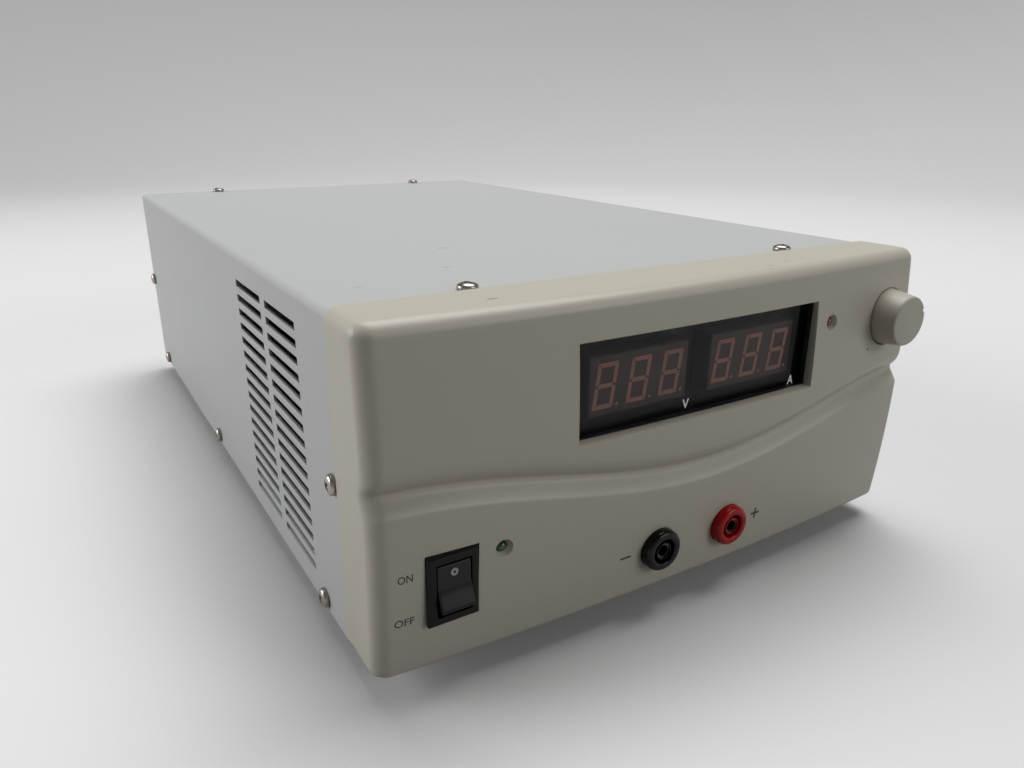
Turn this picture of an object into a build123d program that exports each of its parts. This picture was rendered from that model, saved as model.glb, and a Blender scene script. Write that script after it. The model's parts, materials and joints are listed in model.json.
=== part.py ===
"""Bench power supply: bezel, cover, chassis, controls, outputs, fan and power stage.

Millimetres. +X is to the right as seen from the front, +Y runs from the front to the back and +Z is up.
The origin lies under the middle of the whole object, on the plane that its feet stand on.
"""

import os
from math import cos, pi, radians, sin, sqrt, tan

from build123d import *

# Case
foot_height = 8.0
case_width = 218.8
case_height = 101.0
cover_length = 333.2
cover_sheet = 1.0
cover_bend = 2.6
chassis_sheet = 1.2
sheet_gap = 0.2
flange_depth = 13.0
base_flange_height = 14.0
chassis_bend = 1.8
flange_relief = 3.0
cable_margin = 3.0
rear_overhang = 0.8

# Bezel
bezel_overhang = 0.6
bezel_drop = 0.5
bezel_rise = 1.0
bezel_depth = 21.2
bezel_width = case_width + 2 * bezel_overhang
bezel_height = case_height - bezel_drop + bezel_rise
bezel_joint = 0.4
bezel_wall = 3.0
plan_bow = 3.9
side_bow = 2.6
side_edge_radius = 6.0
top_edge_radius = 4.0
bottom_edge_radius = 2.0
wave_low = bezel_height * 0.401
wave_high = bezel_height * 0.54
wave_centre = 5.0
groove_depth = 2.6
groove_above = 5.6
groove_below = 6.0
groove_backing = 2.4

# Display
display_left = 62.7
display_right = 59.1
display_x = (display_left - display_right) / 2
display_z = bezel_height * 0.729
display_width = bezel_width - display_left - display_right
display_height = bezel_height * 0.2857
display_setback = 2.7
display_corner = 0.6
display_land = 0.7
surround_wall = 3.4
surround_thickness = 1.8
window_thickness = 2.0
module_left = 7.7
module_right = 4.1
module_spacing = 9.6
module_width = (display_width - module_left - module_right - module_spacing) / 2
module_height = bezel_height * 0.1872
module_thickness = 8.0
module_gap = 0.3
module_chamfer = 0.4
module_pins = 6
module_pin_pitch = 2.54
module_pin_width = 0.5
module_pin_length = 1.0
module_pin_inset = 4.0
volts_x = display_x - display_width / 2 + module_left + module_width / 2
amps_x = volts_x + module_width + module_spacing
module_z = bezel_height * 0.7172
board_thickness = 1.6
driver_chip_length = 18.0
driver_chip_width = 7.5
driver_chip_height = 2.4
cable_socket_width = 14.0
cable_socket_height = 9.0
cable_socket_depth = 6.0
display_board_margin = 9.4
board_boss_inset = 3.0
board_boss_radius = 2.6
board_screw_radius = 1.1
board_screw = (board_screw_radius, 2.2, 1.6)
board_screw_length = 7.0
boss_radius = 3.5
bezel_screw_radius = 1.4
bezel_screw = (bezel_screw_radius, 2.8, 1.9)
bezel_screw_length = 12.0
thread_gap = 0.05
surround_lap = 0.2
fit_gap = 0.1
boss_inset = 8.5
boss_side_x = bezel_width / 2 - 11
boss_top_x = bezel_width / 2 - 36

# Switch
switch_x = 22.5 - bezel_width / 2
switch_z = bezel_height * 0.258
switch_setback = 2.9
switch_frame_width = 15.8
switch_frame_height = 22.1
switch_frame_thickness = 2.0
switch_body_width = 12.8
switch_body_height = 19.2
switch_body_depth = 16.0
rocker_width = 10.4
rocker_half = 6.8
rocker_gap = 0.2
rocker_pivot_depth = 4.0
rocker_tilt = 12.0
rocker_pin_radius = 1.2
rocker_pin_length = 0.7
rocker_pin_gap = 0.05
rocker_flare = 0.9
rocker_shoulder_depth = 1.5
rocker_tail_depth = 2.0
rocker_edge_radius = 0.5
rocker_well_depth = 8.0
rocker_well_height = 16.4
switch_frame_chamfer = 1.0
terminal_pitch_x = 5.0
terminal_pitch_z = 9.0
terminal_width = 4.8
terminal_thickness = 0.8
terminal_length = 8.0

# Lamps
led_radius = 1.7
led_length = 5.4
led_recess = 1.6
led_mouth_radius = 2.9
led_gap = 0.1
led_flange = 1.0
led_boss_wall = 1.5
led_leg = 0.5
led_leg_pitch = 2.54
power_led_x = 38.3 - bezel_width / 2
power_led_z = bezel_height * 0.327
overload_led_x = bezel_width / 2 - 50.4
overload_led_z = bezel_height * 0.795

# Knob and its potentiometer
knob_x = bezel_width / 2 - 16.5
knob_z = bezel_height * 0.7695
knob_radius = 10.25
knob_front_radius = 9.1
knob_height = 9.8
knob_gap = 0.5
knob_skirt_wall = 1.8
knob_skirt_depth = 4.0
shaft_radius = 3.0
shaft_gap = 0.05
bushing_radius = 3.5
pot_radius = 12.0
pot_thickness = 9.0
pot_pad = 0.8
pot_nut_flats = 10.0
pot_nut_height = 2.0
pot_shaft_inside = 3.0
pot_lug_pitch = 5.0
pot_lug_width = 1.6
pot_lug_length = 6.0
bushing_proud = 2.6
knob_bore_depth = 8.0
knob_edge_radius = 0.8
knob_pointer_angle = 22.0
pointer_length = 1.6
pointer_width = 1.2
pointer_depth = 0.9

# Auxiliary sockets
socket_z = bezel_height * 0.1557
socket_negative_x = -14.0
socket_positive_x = 16.6
socket_flange_radius = 7.1
socket_pad = 2.0
socket_proud = 3.5
socket_body_radius = 6.0
socket_body_length = 20.0
socket_shroud_radius = 4.15
socket_shroud_depth = 9.0
socket_core_radius = 3.0
sleeve_radius = 2.6
sleeve_bore_radius = 2.0
sleeve_length = 25.0
sleeve_setback = 1.2
socket_nut_flats = 15.0
socket_nut_height = 3.0
socket_edge_radius = 1.0
sleeve_bore_depth = 20.0

# Cover screws
screw_head_radius = 3.5
screw_head_height = 2.2
screw_radius = 1.9
screw_length = 6.0
screw_hole_gap = 0.1
top_screw_x = case_width / 2 - 43.4
front_screw_inset = 3.9
rear_screw_inset = 4.8
side_screw_height = case_height / 2
base_screw_height = 4.0
base_screw_front = 20.0
base_screw_middle = cover_length / 2 + 5
base_screw_rear = cover_length - 19.2

# Vents in each side of the cover
vent_length = 32.4
vent_height = 2.6
vent_pitch = case_height * 0.053
vent_rows = 16
vent_columns = 2
vent_column_pitch = 38.3
vent_first_y = 45.4
vent_first_z = case_height * 0.096

# Feet
foot_radius = 9.0
foot_inset_x = 24.0
foot_inset_y = 32.0
foot_bore_radius = 5.0
foot_floor = 3.0
foot_taper = 0.8
foot_edge = 1.0
foot_nut_flats = 7.0
foot_nut_height = 2.4

# Fan
fan_x = -0.235 * case_width
fan_z = case_height / 2 - 0.5
fan_size = case_height - 21
fan_thickness = 25.0
fan_bore_radius = fan_size / 2 - 2
fan_hole_pitch = fan_size - 8.5
fan_hole_radius = 2.15
fan_corner_radius = 4.0
fan_hub_radius = 17.0
fan_blades = 7
fan_blade_tip_gap = 1.0
fan_shaft_radius = 1.5
guard_wire = 1.7
guard_rings = 4
guard_inner_radius = 12.0
guard_eye_radius = 4.2
fan_wall = 2.0
fan_flange = 4.0
fan_screw_radius = 1.9
fan_strut = 4.0
fan_boss_thickness = 3.0
fan_bearing_radius = 4.0
fan_bearing_length = 14.0
fan_running_gap = 1.0
fan_hub_wall = 1.5
fan_root_pitch = 42.0
fan_root_chord = 16.0
fan_tip_pitch = 26.0
fan_tip_chord = 25.0
fan_blade_thickness = 1.4

# Mains inlet, with its fuse drawer above the pins
inlet_x = case_width * 0.08
inlet_z = case_height * 0.515
inlet_width = 28.0
inlet_height = 47.0
inlet_lip = 2.5
inlet_lip_thickness = 3.0
inlet_edge = 0.8
inlet_depth = 24.0
inlet_socket_width = 24.4
inlet_socket_height = 16.4
inlet_socket_depth = 17.0
drawer_width = 22.0
drawer_height = 12.0
drawer_depth = 18.0
drawer_gap = 0.3
drawer_rise = 14.0
drawer_wall = 1.5
drawer_notch = 8.0
drawer_notch_height = 3.0
drawer_notch_corner = 1.0
inlet_socket_drop = 10.0
inlet_socket_chamfer = 4.0
inlet_pin_width = 2.0
inlet_pin_height = 5.0
inlet_pin_setback = 3.0
inlet_pin_pitch = 7.0
inlet_pin_rise = 2.0
inlet_tail = 7.0

# Output posts
post_z = case_height * 0.554
post_positive_x = case_width * 0.265
post_negative_x = case_width * 0.411
post_stud_radius = 4.0
post_stud_chamfer = 0.5
post_base_radius = 12.0
post_base_height = 8.0
post_cap_radius = 10.5
post_cap_height = 18.0
post_shoulder_radius = 5.5
post_washer_radius = 10.0
post_washer_height = 2.0
post_cap_gap = 0.2
post_cap_end = 2.0
post_cap_edge = 1.5
post_flutes = 18
post_flute_radius = 0.9
busbar_width = 14.0
busbar_thickness = 2.0
busbar_bend = 3.0
busbar_run = 28.0
post_stud_inside = 16.0
post_nut_flats = 13.0
post_nut_height = 5.0

# Main board and what stands on it
board_side = 13.4
board_front = 42.0
board_half_width = case_width / 2 - board_side
board_rear = bezel_depth + cover_length - 36.4
standoff_height = 6.0
standoff_radius = 3.0
standoff_pin_radius = 2.0
standoff_inset = 8.0
board_corner = 3.0
sink_reach = 38.0
sink_back_x = board_half_width - sink_reach
standoff_x = post_positive_x - 12
sink_plate = 4.0
sink_depth = 34.0
sink_height = 62.0
sink_fin = 1.8
sink_fins = 7
primary_sink_front = 125.0
primary_sink_rear = board_rear - 38
output_sink_front = 90.0
output_sink_rear = board_rear - 43
transistors = 4
rectifiers = 5
device_width = 16.0
device_height = 21.0
device_thickness = 5.0
device_chamfer = 0.6
device_lift = 12.0
device_leg = 0.7
device_leg_pitch = 5.4
transformer_y = board_rear * 0.613
core_height = 48.0
core_leg = sink_back_x * 0.31
core_window = sink_back_x * 0.207
core_width = 2 * core_leg + 2 * core_window
winding_gap = 0.4
choke_wire = 2.2
bulk_cans = 2
bulk_inset = 26.0
bulk_y = 80.0
bulk_radius = 15.0
bulk_height = 45.0
bulk_pitch = 38.0
output_cans = 5
output_can_y = 95.0
output_can_pitch = 24.0
output_can_radius = 8.0
output_can_height = 32.0
output_can_x = sink_back_x - 17
aisle_left = device_thickness - sink_back_x
aisle_right = output_can_x - output_can_radius
transformer_x = (aisle_left + aisle_right) / 2
output_choke = (aisle_right - 29, board_rear * 0.382, 17.0, 8.0, 22.0)
output_choke_turn = 310
output_choke_start = 115
line_choke = (2.0, board_rear - 33, 12.0, 6.0, 16.0)
line_choke_turn = 140
line_choke_starts = (20, 200)
bridge_x = -20.0
bridge_y = board_rear - 68
bridge_width = 30.0
bridge_height = 20.0
bridge_thickness = 4.0
bridge_lift = 8.0
bridge_hole_radius = 1.6
bridge_leg_pitch = 7.5

# The planes that the rest is built on
case_bottom = foot_height
case_top = case_bottom + case_height
bezel_bottom = case_bottom + bezel_drop
bezel_top = bezel_bottom + bezel_height
bezel_middle = bezel_bottom + bezel_height / 2
plan_radius = ((bezel_width / 2) ** 2 + plan_bow**2) / (2 * plan_bow)
side_radius = ((bezel_height / 2) ** 2 + side_bow**2) / (2 * side_bow)
chassis_half = case_width / 2 - cover_sheet - sheet_gap
chassis_top = case_top - cover_sheet - sheet_gap
base_top = case_bottom + chassis_sheet
side_sign = (-1, 1)


def face_bow(x, z):
    """How far the bezel's bowed face stands in front of its corners, at a point of its elevation."""
    bulge = side_bow - side_radius + sqrt(side_radius**2 - (z - bezel_middle) ** 2)
    return sqrt((plan_radius + bulge) ** 2 - x**2) - (plan_radius - plan_bow)


def seat_bow(x, z, radius):
    """How far the flat seat for a round piece, cut into the bowed face, stands in front of the corners."""
    return min(face_bow(x + dx, z + dz) for dx in (-radius, radius) for dz in (-radius, radius))


# The whole length runs from the knob's front to the end of the output posts' caps
knob_middle = bezel_bottom + knob_z
knob_reach = seat_bow(knob_x, knob_middle, knob_radius + knob_gap) + knob_gap + knob_height
post_reach = post_base_height + post_cap_height
case_depth = bezel_depth + bezel_joint + cover_length
face_y = (knob_reach - (case_depth - rear_overhang + post_reach)) / 2
bow_axis_y = face_y - plan_bow + plan_radius
bezel_rear = face_y + bezel_depth
cover_front = bezel_rear + bezel_joint
cover_rear = cover_front + cover_length
front_wall = cover_front
rear_wall = cover_rear - rear_overhang


def front_y(x, z):
    """Y of the bezel's bowed front face at a point of its elevation."""
    return face_y - face_bow(x, z)


def seat_y(x, z, radius):
    """Y of the flat seat that is cut into the bowed face for a round piece."""
    return face_y - seat_bow(x, z, radius)


def wave_z(x):
    """Height of the bottom of the groove that waves across the bezel."""
    middle = bezel_bottom + (wave_low + wave_high) / 2
    return middle - (wave_high - wave_low) / 2 * cos(2 * pi * (x - wave_centre) / bezel_width)


def facing(x, y, z):
    """A plane that faces the front, with its x to the right and its y up."""
    return Plane(origin=(x, y, z), x_dir=(1, 0, 0), z_dir=(0, -1, 0))


def wave_sweep(outline):
    """Sweep a closed outline, drawn as depth and height points, along the wave."""
    points = []
    steps = 12
    reach = bezel_width / 2 + 12
    for step in range(steps + 1):
        x = -reach + 2 * reach * step / steps
        points.append((x, front_y(x, wave_z(x)), wave_z(x)))
    with BuildPart() as swept:
        with BuildLine() as path:
            Spline(*points)
        start = Plane(origin=path.line @ 0, x_dir=(0, 1, 0), z_dir=path.line % 0)
        with BuildSketch(start):
            add(outline)
        sweep(path=path.line)
    return swept.part


def pan_head_screw(origin, direction, length, radius=None, head=None, height=None):
    """A pan head screw whose head sits at origin and stands out along direction."""
    radius = radius or screw_radius
    head = head or screw_head_radius
    height = height or screw_head_height
    with BuildPart() as screw:
        with BuildSketch(Plane.XZ):
            with BuildLine():
                edge = height * 0.45
                rim = Polyline((0, -length), (radius, -length), (radius, 0), (head, 0), (head, edge))
                dome = ThreePointArc(rim @ 1, (head * 0.8, height * 0.82), (head * 0.35, height))
                Polyline(dome @ 1, (0, height), (0, -length))
            make_face()
        revolve(axis=Axis.Z)
    return screw.part.located(Plane(origin=origin, z_dir=direction).location)


def hexagon_nut(origin, direction, flats, height, bore):
    """A nut whose lower face lies at origin and that stands out along direction."""
    with BuildPart() as nut:
        with BuildSketch(Plane(origin=origin, z_dir=direction)):
            RegularPolygon(radius=flats / 2, side_count=6, major_radius=False)
            Circle(bore, mode=Mode.SUBTRACT)
        extrude(amount=height)
    return nut.part


# Places that several pieces share
display_middle = bezel_bottom + display_z
module_middle = bezel_bottom + module_z
display_seat = face_y - display_setback
surround_width = display_width + 2 * surround_wall
surround_height = display_height + 2 * surround_wall
window_front = display_seat + surround_thickness
window_rear = window_front + window_thickness
module_front = window_rear + module_gap
display_board_front = module_front + module_thickness
display_board_rear = display_board_front + board_thickness
display_board_left = display_x - display_width / 2 - display_board_margin
display_board_right = overload_led_x + display_board_margin
display_board_low = module_middle - module_height / 2 - display_board_margin
display_board_high = bezel_top - bezel_wall - 1.5
switch_middle = bezel_bottom + switch_z
switch_seat = face_y - switch_setback
switch_front = switch_seat - switch_frame_thickness
rocker_pivot_y = switch_front + rocker_pivot_depth
power_led_middle = bezel_bottom + power_led_z
overload_led_middle = bezel_bottom + overload_led_z
power_led_tip = front_y(power_led_x, power_led_middle) + led_recess
overload_led_tip = front_y(overload_led_x, overload_led_middle) + led_recess
knob_seat = seat_y(knob_x, knob_middle, knob_radius + knob_gap)
pot_seat = knob_seat + bezel_wall
socket_middle = bezel_bottom + socket_z
socket_seat = max(
    seat_y(x, socket_middle, socket_flange_radius) for x in (socket_negative_x, socket_positive_x)
)
socket_panel = socket_seat + bezel_wall
lamp_places = [
    (power_led_x, power_led_middle, power_led_tip),
    (overload_led_x, overload_led_middle, overload_led_tip),
]
socket_places = [(socket_negative_x, 0), (socket_positive_x, 0)]
boss_places = [
    (-boss_side_x, bezel_bottom + boss_inset),
    (boss_side_x, bezel_bottom + boss_inset),
    (-boss_top_x, bezel_top - boss_inset),
    (boss_top_x, bezel_top - boss_inset),
]
board_boss_places = [
    (x, z)
    for x in (display_board_left + board_boss_inset, display_board_right - board_boss_inset)
    for z in (display_board_low + board_boss_inset, display_board_high - board_boss_inset)
]


# Front bezel: a barrel-shaped moulding with rounded edges, a wavy groove and openings for the controls
def barrel(inset, reach):
    """The bezel's bowed block, drawn in by inset at the front, sides, top and bottom."""
    low = bezel_bottom + inset
    high = bezel_top - inset
    front = face_y - plan_bow + inset
    turn = 9.0
    with BuildPart() as block:
        with BuildSketch(Plane.YZ):
            with BuildLine():
                bow = ThreePointArc((front, low), (front - side_bow, bezel_middle), (front, high))
                Polyline(bow @ 1, (reach, high), (reach, low), bow @ 0)
            make_face()
        revolve(axis=Axis((0, bow_axis_y, 0), (0, 0, 1)), revolution_arc=turn)
    centred = block.part.rotate(Axis((0, bow_axis_y, 0), (0, 0, 1)), -turn / 2)
    with BuildPart() as trimmed:
        add(centred)
        with BuildSketch(Plane.XZ.offset(-bezel_rear)):
            with Locations((0, bezel_middle)):
                Rectangle(bezel_width - 2 * inset, bezel_height - 2 * inset)
        extrude(amount=bezel_depth + plan_bow + side_bow + 1, mode=Mode.INTERSECT)
    return trimmed.part


with BuildSketch() as groove_outline:
    with BuildLine():
        shoulder = groove_depth * 0.92
        lip = ThreePointArc((0, groove_above), (groove_depth * 0.3, groove_above * 0.45), (shoulder, 0.8))
        bottom = ThreePointArc(lip @ 1, (groove_depth, 0), (shoulder, -0.9))
        Polyline(bottom @ 1, (0, -groove_below), (-4, -groove_below), (-4, groove_above), lip @ 0)
    make_face()

with BuildSketch() as backing_outline:
    with BuildLine():
        inner = groove_depth + groove_backing
        outer = bezel_wall - 1
        spread = groove_backing
        Polyline(
            (outer, groove_above + spread),
            (inner, spread),
            (inner, -spread),
            (outer, -groove_below - spread),
            close=True,
        )
    make_face()

with BuildPart() as bezel_cavity:
    add(barrel(bezel_wall, bezel_rear + 30))
    with BuildSketch(Plane.XZ.offset(-bezel_rear - 5)):
        with Locations((0, bezel_middle)):
            Rectangle(bezel_width - 2 * bezel_wall, bezel_height - 2 * bezel_wall)
    extrude(amount=10)

with BuildPart() as wave_backing:
    add(wave_sweep(backing_outline.sketch))
    with BuildSketch(facing(0, bezel_rear, bezel_middle)):
        Rectangle(bezel_width - 2, bezel_height - 2)
    extrude(amount=2 * bezel_depth, mode=Mode.INTERSECT)

with BuildPart() as bezel_openings:
    with BuildSketch(facing(display_x, display_seat + 1, display_middle)):
        Rectangle(display_width, display_height)
        fillet(vertices(), display_corner)
    extrude(amount=bezel_depth)
    with BuildSketch(facing(display_x, display_seat, display_middle)):
        Rectangle(surround_width + 2 * fit_gap, surround_height + 2 * fit_gap)
    extrude(amount=-bezel_depth / 2)
    with BuildSketch(facing(switch_x, switch_seat, switch_middle)):
        Rectangle(switch_frame_width + 2 * fit_gap, switch_frame_height + 2 * fit_gap)
    extrude(amount=bezel_depth)
    with BuildSketch(facing(switch_x, switch_seat + bezel_depth / 2, switch_middle)):
        Rectangle(switch_body_width + 2 * fit_gap, switch_body_height + 2 * fit_gap)
    extrude(amount=bezel_depth)
    for x, z, tip in lamp_places:
        with BuildSketch(facing(x, tip + led_length, z)):
            Circle(led_radius + led_gap)
        extrude(amount=bezel_depth)
        with BuildSketch(Plane(origin=(x, tip, z))):
            mouth = led_recess + led_gap
            Polygon(
                (0, 0),
                (led_radius + led_gap, 0),
                (led_mouth_radius, -mouth),
                (led_mouth_radius, -mouth - 1),
                (0, -mouth - 1),
                align=None,
            )
        revolve(axis=Axis((x, tip, z), (0, 1, 0)))
    with BuildSketch(facing(knob_x, knob_seat, knob_middle)):
        Circle(knob_radius + knob_gap)
    extrude(amount=bezel_depth)
    with BuildSketch(facing(knob_x, knob_seat + bezel_depth / 2, knob_middle)):
        Circle(bushing_radius + fit_gap)
    extrude(amount=bezel_depth)
    with BuildSketch(facing(0, socket_seat, socket_middle)):
        with Locations(*socket_places):
            Circle(socket_flange_radius + fit_gap)
    extrude(amount=bezel_depth)
    with BuildSketch(facing(0, socket_seat + bezel_depth / 2, socket_middle)):
        with Locations(*socket_places):
            Circle(socket_body_radius + fit_gap)
    extrude(amount=bezel_depth)
    with BuildSketch(facing(0, socket_panel, socket_middle)):
        with Locations(*socket_places):
            Circle(socket_flange_radius + socket_pad)
    extrude(amount=-bezel_wall)
    with BuildSketch(facing(knob_x, pot_seat, knob_middle)):
        Circle(pot_radius + pot_pad)
    extrude(amount=-bezel_wall)
    with BuildSketch(facing(0, front_wall, 0)):
        with Locations(*boss_places):
            Circle(bezel_screw_radius + thread_gap)
    extrude(amount=bezel_screw_length)
    with BuildSketch(facing(0, display_board_front, 0)):
        with Locations(*board_boss_places):
            Circle(board_screw_radius + thread_gap)
    extrude(amount=board_screw_length)

bezel_block = barrel(0, bezel_rear + 30)
wave_cutter = wave_sweep(groove_outline.sketch)

with BuildPart() as front_bezel:
    add(bezel_block)
    uprights = front_bezel.edges().filter_by(Plane.YZ).filter_by(lambda e: e.length > bezel_height / 2)
    fillet(uprights.group_by(Axis.Y)[0], side_edge_radius)
    top_chain = front_bezel.edges().group_by(Axis.Z)[-1]
    top_chain = top_chain.filter_by(lambda e: e.center().Y < bezel_rear - 0.1)
    fillet(top_chain, top_edge_radius)
    bottom_chain = front_bezel.edges().group_by(Axis.Z)[0]
    bottom_chain = bottom_chain.filter_by(lambda e: e.center().Y < bezel_rear - 0.1)
    fillet(bottom_chain, bottom_edge_radius)
    add(bezel_cavity.part, mode=Mode.SUBTRACT)
    add(wave_backing.part)
    add(wave_cutter, mode=Mode.SUBTRACT)
    for x, z in boss_places:
        with BuildSketch(facing(x, front_wall, z)):
            Circle(boss_radius)
        extrude(amount=front_wall - front_y(x, z) - bezel_wall / 2)
    for x, z in board_boss_places:
        with BuildSketch(facing(x, display_board_front, z)):
            Circle(board_boss_radius)
        extrude(amount=display_board_front - front_y(x, z) - bezel_wall / 2)
    with BuildSketch(facing(display_x, display_seat, display_middle)):
        Rectangle(surround_width + 2, surround_height)
    extrude(amount=display_land)
    for x, z, tip in lamp_places:
        with BuildSketch(facing(x, tip + led_length - led_flange, z)):
            Circle(led_radius + led_boss_wall)
        extrude(amount=led_length - led_flange - 0.5)
    with BuildSketch(facing(knob_x, pot_seat, knob_middle)):
        Circle(pot_radius + pot_pad)
    extrude(amount=bezel_wall - 1)
    with BuildSketch(facing(0, socket_panel, socket_middle)):
        with Locations(*socket_places):
            Circle(socket_flange_radius + socket_pad)
    extrude(amount=bezel_wall - 1)
    add(bezel_openings.part, mode=Mode.SUBTRACT)


# Display: black surround, smoked window, two digit modules and their board
with BuildPart() as display_surround:
    with BuildSketch(facing(display_x, window_front, display_middle)):
        Rectangle(surround_width, surround_height)
        Rectangle(display_width - surround_lap, display_height - surround_lap, mode=Mode.SUBTRACT)
    extrude(amount=surround_thickness)

with BuildPart() as display_window:
    with BuildSketch(facing(display_x, window_rear, display_middle)):
        Rectangle(surround_width, surround_height)
    extrude(amount=window_thickness)


def digit_module(x):
    """A block of three digits, with its two rows of pins against the board."""
    with BuildPart() as module:
        with BuildSketch(facing(x, display_board_front - module_pin_length, module_middle)):
            Rectangle(module_width, module_height)
        extrude(amount=module_thickness - module_pin_length)
        chamfer(module.faces().sort_by(Axis.Y)[0].edges(), module_chamfer)
        with BuildSketch(facing(x, display_board_front, module_middle)):
            with GridLocations(module_pin_pitch, module_height - module_pin_inset, module_pins, 2):
                Rectangle(module_pin_width, module_pin_width)
        extrude(amount=module_pin_length)
    return module.part


volts_module = digit_module(volts_x)
amps_module = digit_module(amps_x)

with BuildPart() as display_board:
    with BuildSketch(facing(0, display_board_rear, 0)):
        board_middle = (display_board_left + display_board_right) / 2
        with Locations((board_middle, (display_board_low + display_board_high) / 2)):
            Rectangle(display_board_right - display_board_left, display_board_high - display_board_low)
        with Locations(*board_boss_places):
            Circle(board_screw_radius + fit_gap, mode=Mode.SUBTRACT)
    extrude(amount=board_thickness)
    with BuildSketch(facing(0, display_board_rear, module_middle)):
        with Locations((volts_x, 0), (amps_x, 0)):
            Rectangle(driver_chip_length, driver_chip_width)
    extrude(amount=-driver_chip_height)
    with BuildSketch(facing((volts_x + amps_x) / 2, display_board_rear, module_middle)):
        Rectangle(cable_socket_width, cable_socket_height)
        Rectangle(cable_socket_width - 2, cable_socket_height - 2, mode=Mode.SUBTRACT)
    extrude(amount=-cable_socket_depth)

display_board_screws = [
    pan_head_screw((x, display_board_rear, z), (0, 1, 0), board_screw_length, *board_screw)
    for x, z in board_boss_places
]

bezel_screws = [
    pan_head_screw(
        (x, front_wall + chassis_sheet, z),
        (0, 1, 0),
        bezel_screw_length,
        *bezel_screw,
    )
    for x, z in boss_places
]


# Lamps: domed light-emitting diodes pushed into their bores from behind
def lamp(x, z, tip):
    """A domed lamp with its flange and two legs."""
    with BuildPart() as led:
        with BuildSketch(Plane(origin=(x, tip, z))):
            with BuildLine():
                dome = CenterArc((0, led_radius), led_radius, -90, 90)
                Polyline(
                    dome @ 1,
                    (led_radius, led_length - led_flange),
                    (led_radius + led_boss_wall / 3, led_length - led_flange),
                    (led_radius + led_boss_wall / 3, led_length),
                    (0, led_length),
                    dome @ 0,
                )
            make_face()
        revolve(axis=Axis((x, tip, z), (0, 1, 0)))
        with BuildSketch(facing(x, tip + led_length, z)):
            with GridLocations(led_leg_pitch, 0, 2, 1):
                Rectangle(led_leg, led_leg)
        extrude(amount=-(display_board_front - (front_y(x, z) + led_recess) - led_length))
    return led.part


power_led = lamp(*lamp_places[0])
overload_led = lamp(*lamp_places[1])


# Rocker switch: a frame and housing that snap into the bezel, the rocker on its two pins, and blade terminals
with BuildPart() as switch_housing:
    with BuildSketch(facing(switch_x, switch_seat, switch_middle)):
        Rectangle(switch_frame_width, switch_frame_height)
    extrude(amount=switch_frame_thickness)
    chamfer(switch_housing.faces().sort_by(Axis.Y)[0].edges(), switch_frame_chamfer)
    with BuildSketch(facing(switch_x, switch_seat, switch_middle)):
        Rectangle(switch_body_width, switch_body_height)
    extrude(amount=-switch_body_depth)
    with BuildSketch(facing(switch_x, switch_front + rocker_well_depth, switch_middle)):
        Rectangle(rocker_width + 2 * rocker_gap, rocker_well_height)
    extrude(amount=rocker_well_depth, mode=Mode.SUBTRACT)
    with BuildSketch(Plane.YZ.offset(switch_x)):
        with Locations((rocker_pivot_y, switch_middle)):
            Circle(rocker_pin_radius + rocker_pin_gap)
    extrude(amount=rocker_width / 2 + rocker_pin_length + rocker_pin_gap, both=True, mode=Mode.SUBTRACT)

# The rocker is drawn level and then tipped to its ON side, with its upper end pressed in
with BuildPart() as level_rocker:
    with BuildSketch(Plane.YZ.offset(switch_x - rocker_width / 2)):
        with Locations((rocker_pivot_y, switch_middle)):
            rise = rocker_half * tan(radians(rocker_tilt))
            Polygon(
                (-rocker_pivot_depth, 0),
                (-rocker_pivot_depth - rise, rocker_half),
                (-rocker_shoulder_depth, rocker_half + rocker_flare),
                (rocker_tail_depth, rocker_half - rocker_flare / 3),
                (rocker_tail_depth, -rocker_half + rocker_flare / 3),
                (-rocker_shoulder_depth, -rocker_half - rocker_flare),
                (-rocker_pivot_depth - rise, -rocker_half),
                align=None,
            )
    extrude(amount=rocker_width)
    fillet(level_rocker.edges().filter_by(Axis.X).group_by(Axis.Y)[0], rocker_edge_radius)
    with BuildSketch(Plane.YZ.offset(switch_x)):
        with Locations((rocker_pivot_y, switch_middle)):
            Circle(rocker_pin_radius)
    extrude(amount=rocker_width / 2 + rocker_pin_length, both=True)

rocker_axis = Axis((switch_x, rocker_pivot_y, switch_middle), (1, 0, 0))
power_rocker = level_rocker.part.rotate(rocker_axis, -rocker_tilt)

with BuildPart() as switch_terminals:
    with BuildSketch(facing(switch_x, switch_seat + switch_body_depth, switch_middle)):
        with GridLocations(terminal_pitch_x, terminal_pitch_z, 2, 2):
            Rectangle(terminal_thickness, terminal_width)
    extrude(amount=-terminal_length)


# Voltage knob on its shaft, and the potentiometer behind the bezel
knob_base = knob_seat - knob_gap
knob_front = knob_base - knob_height

with BuildPart() as voltage_knob:
    with BuildSketch(Plane(origin=(knob_x, knob_base, knob_middle))):
        with BuildLine():
            Polyline(
                (knob_radius, 0),
                (knob_front_radius, -knob_height),
                (0, -knob_height),
                (0, -knob_bore_depth),
                (shaft_radius + shaft_gap, -knob_bore_depth),
                (shaft_radius + shaft_gap, -knob_skirt_depth),
                (knob_radius - knob_skirt_wall, -knob_skirt_depth),
                (knob_radius - knob_skirt_wall, 0),
                close=True,
            )
        make_face()
    revolve(axis=Axis((knob_x, knob_base, knob_middle), (0, 1, 0)))
    rim = voltage_knob.edges().filter_by(GeomType.CIRCLE).group_by(Axis.Y)[0]
    fillet(rim, knob_edge_radius)
    with BuildSketch(facing(knob_x, knob_front + pointer_length, knob_middle)):
        with PolarLocations(knob_front_radius, 1, start_angle=knob_pointer_angle):
            Rectangle(2 * pointer_depth, pointer_width)
    extrude(amount=knob_height, mode=Mode.SUBTRACT)

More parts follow.
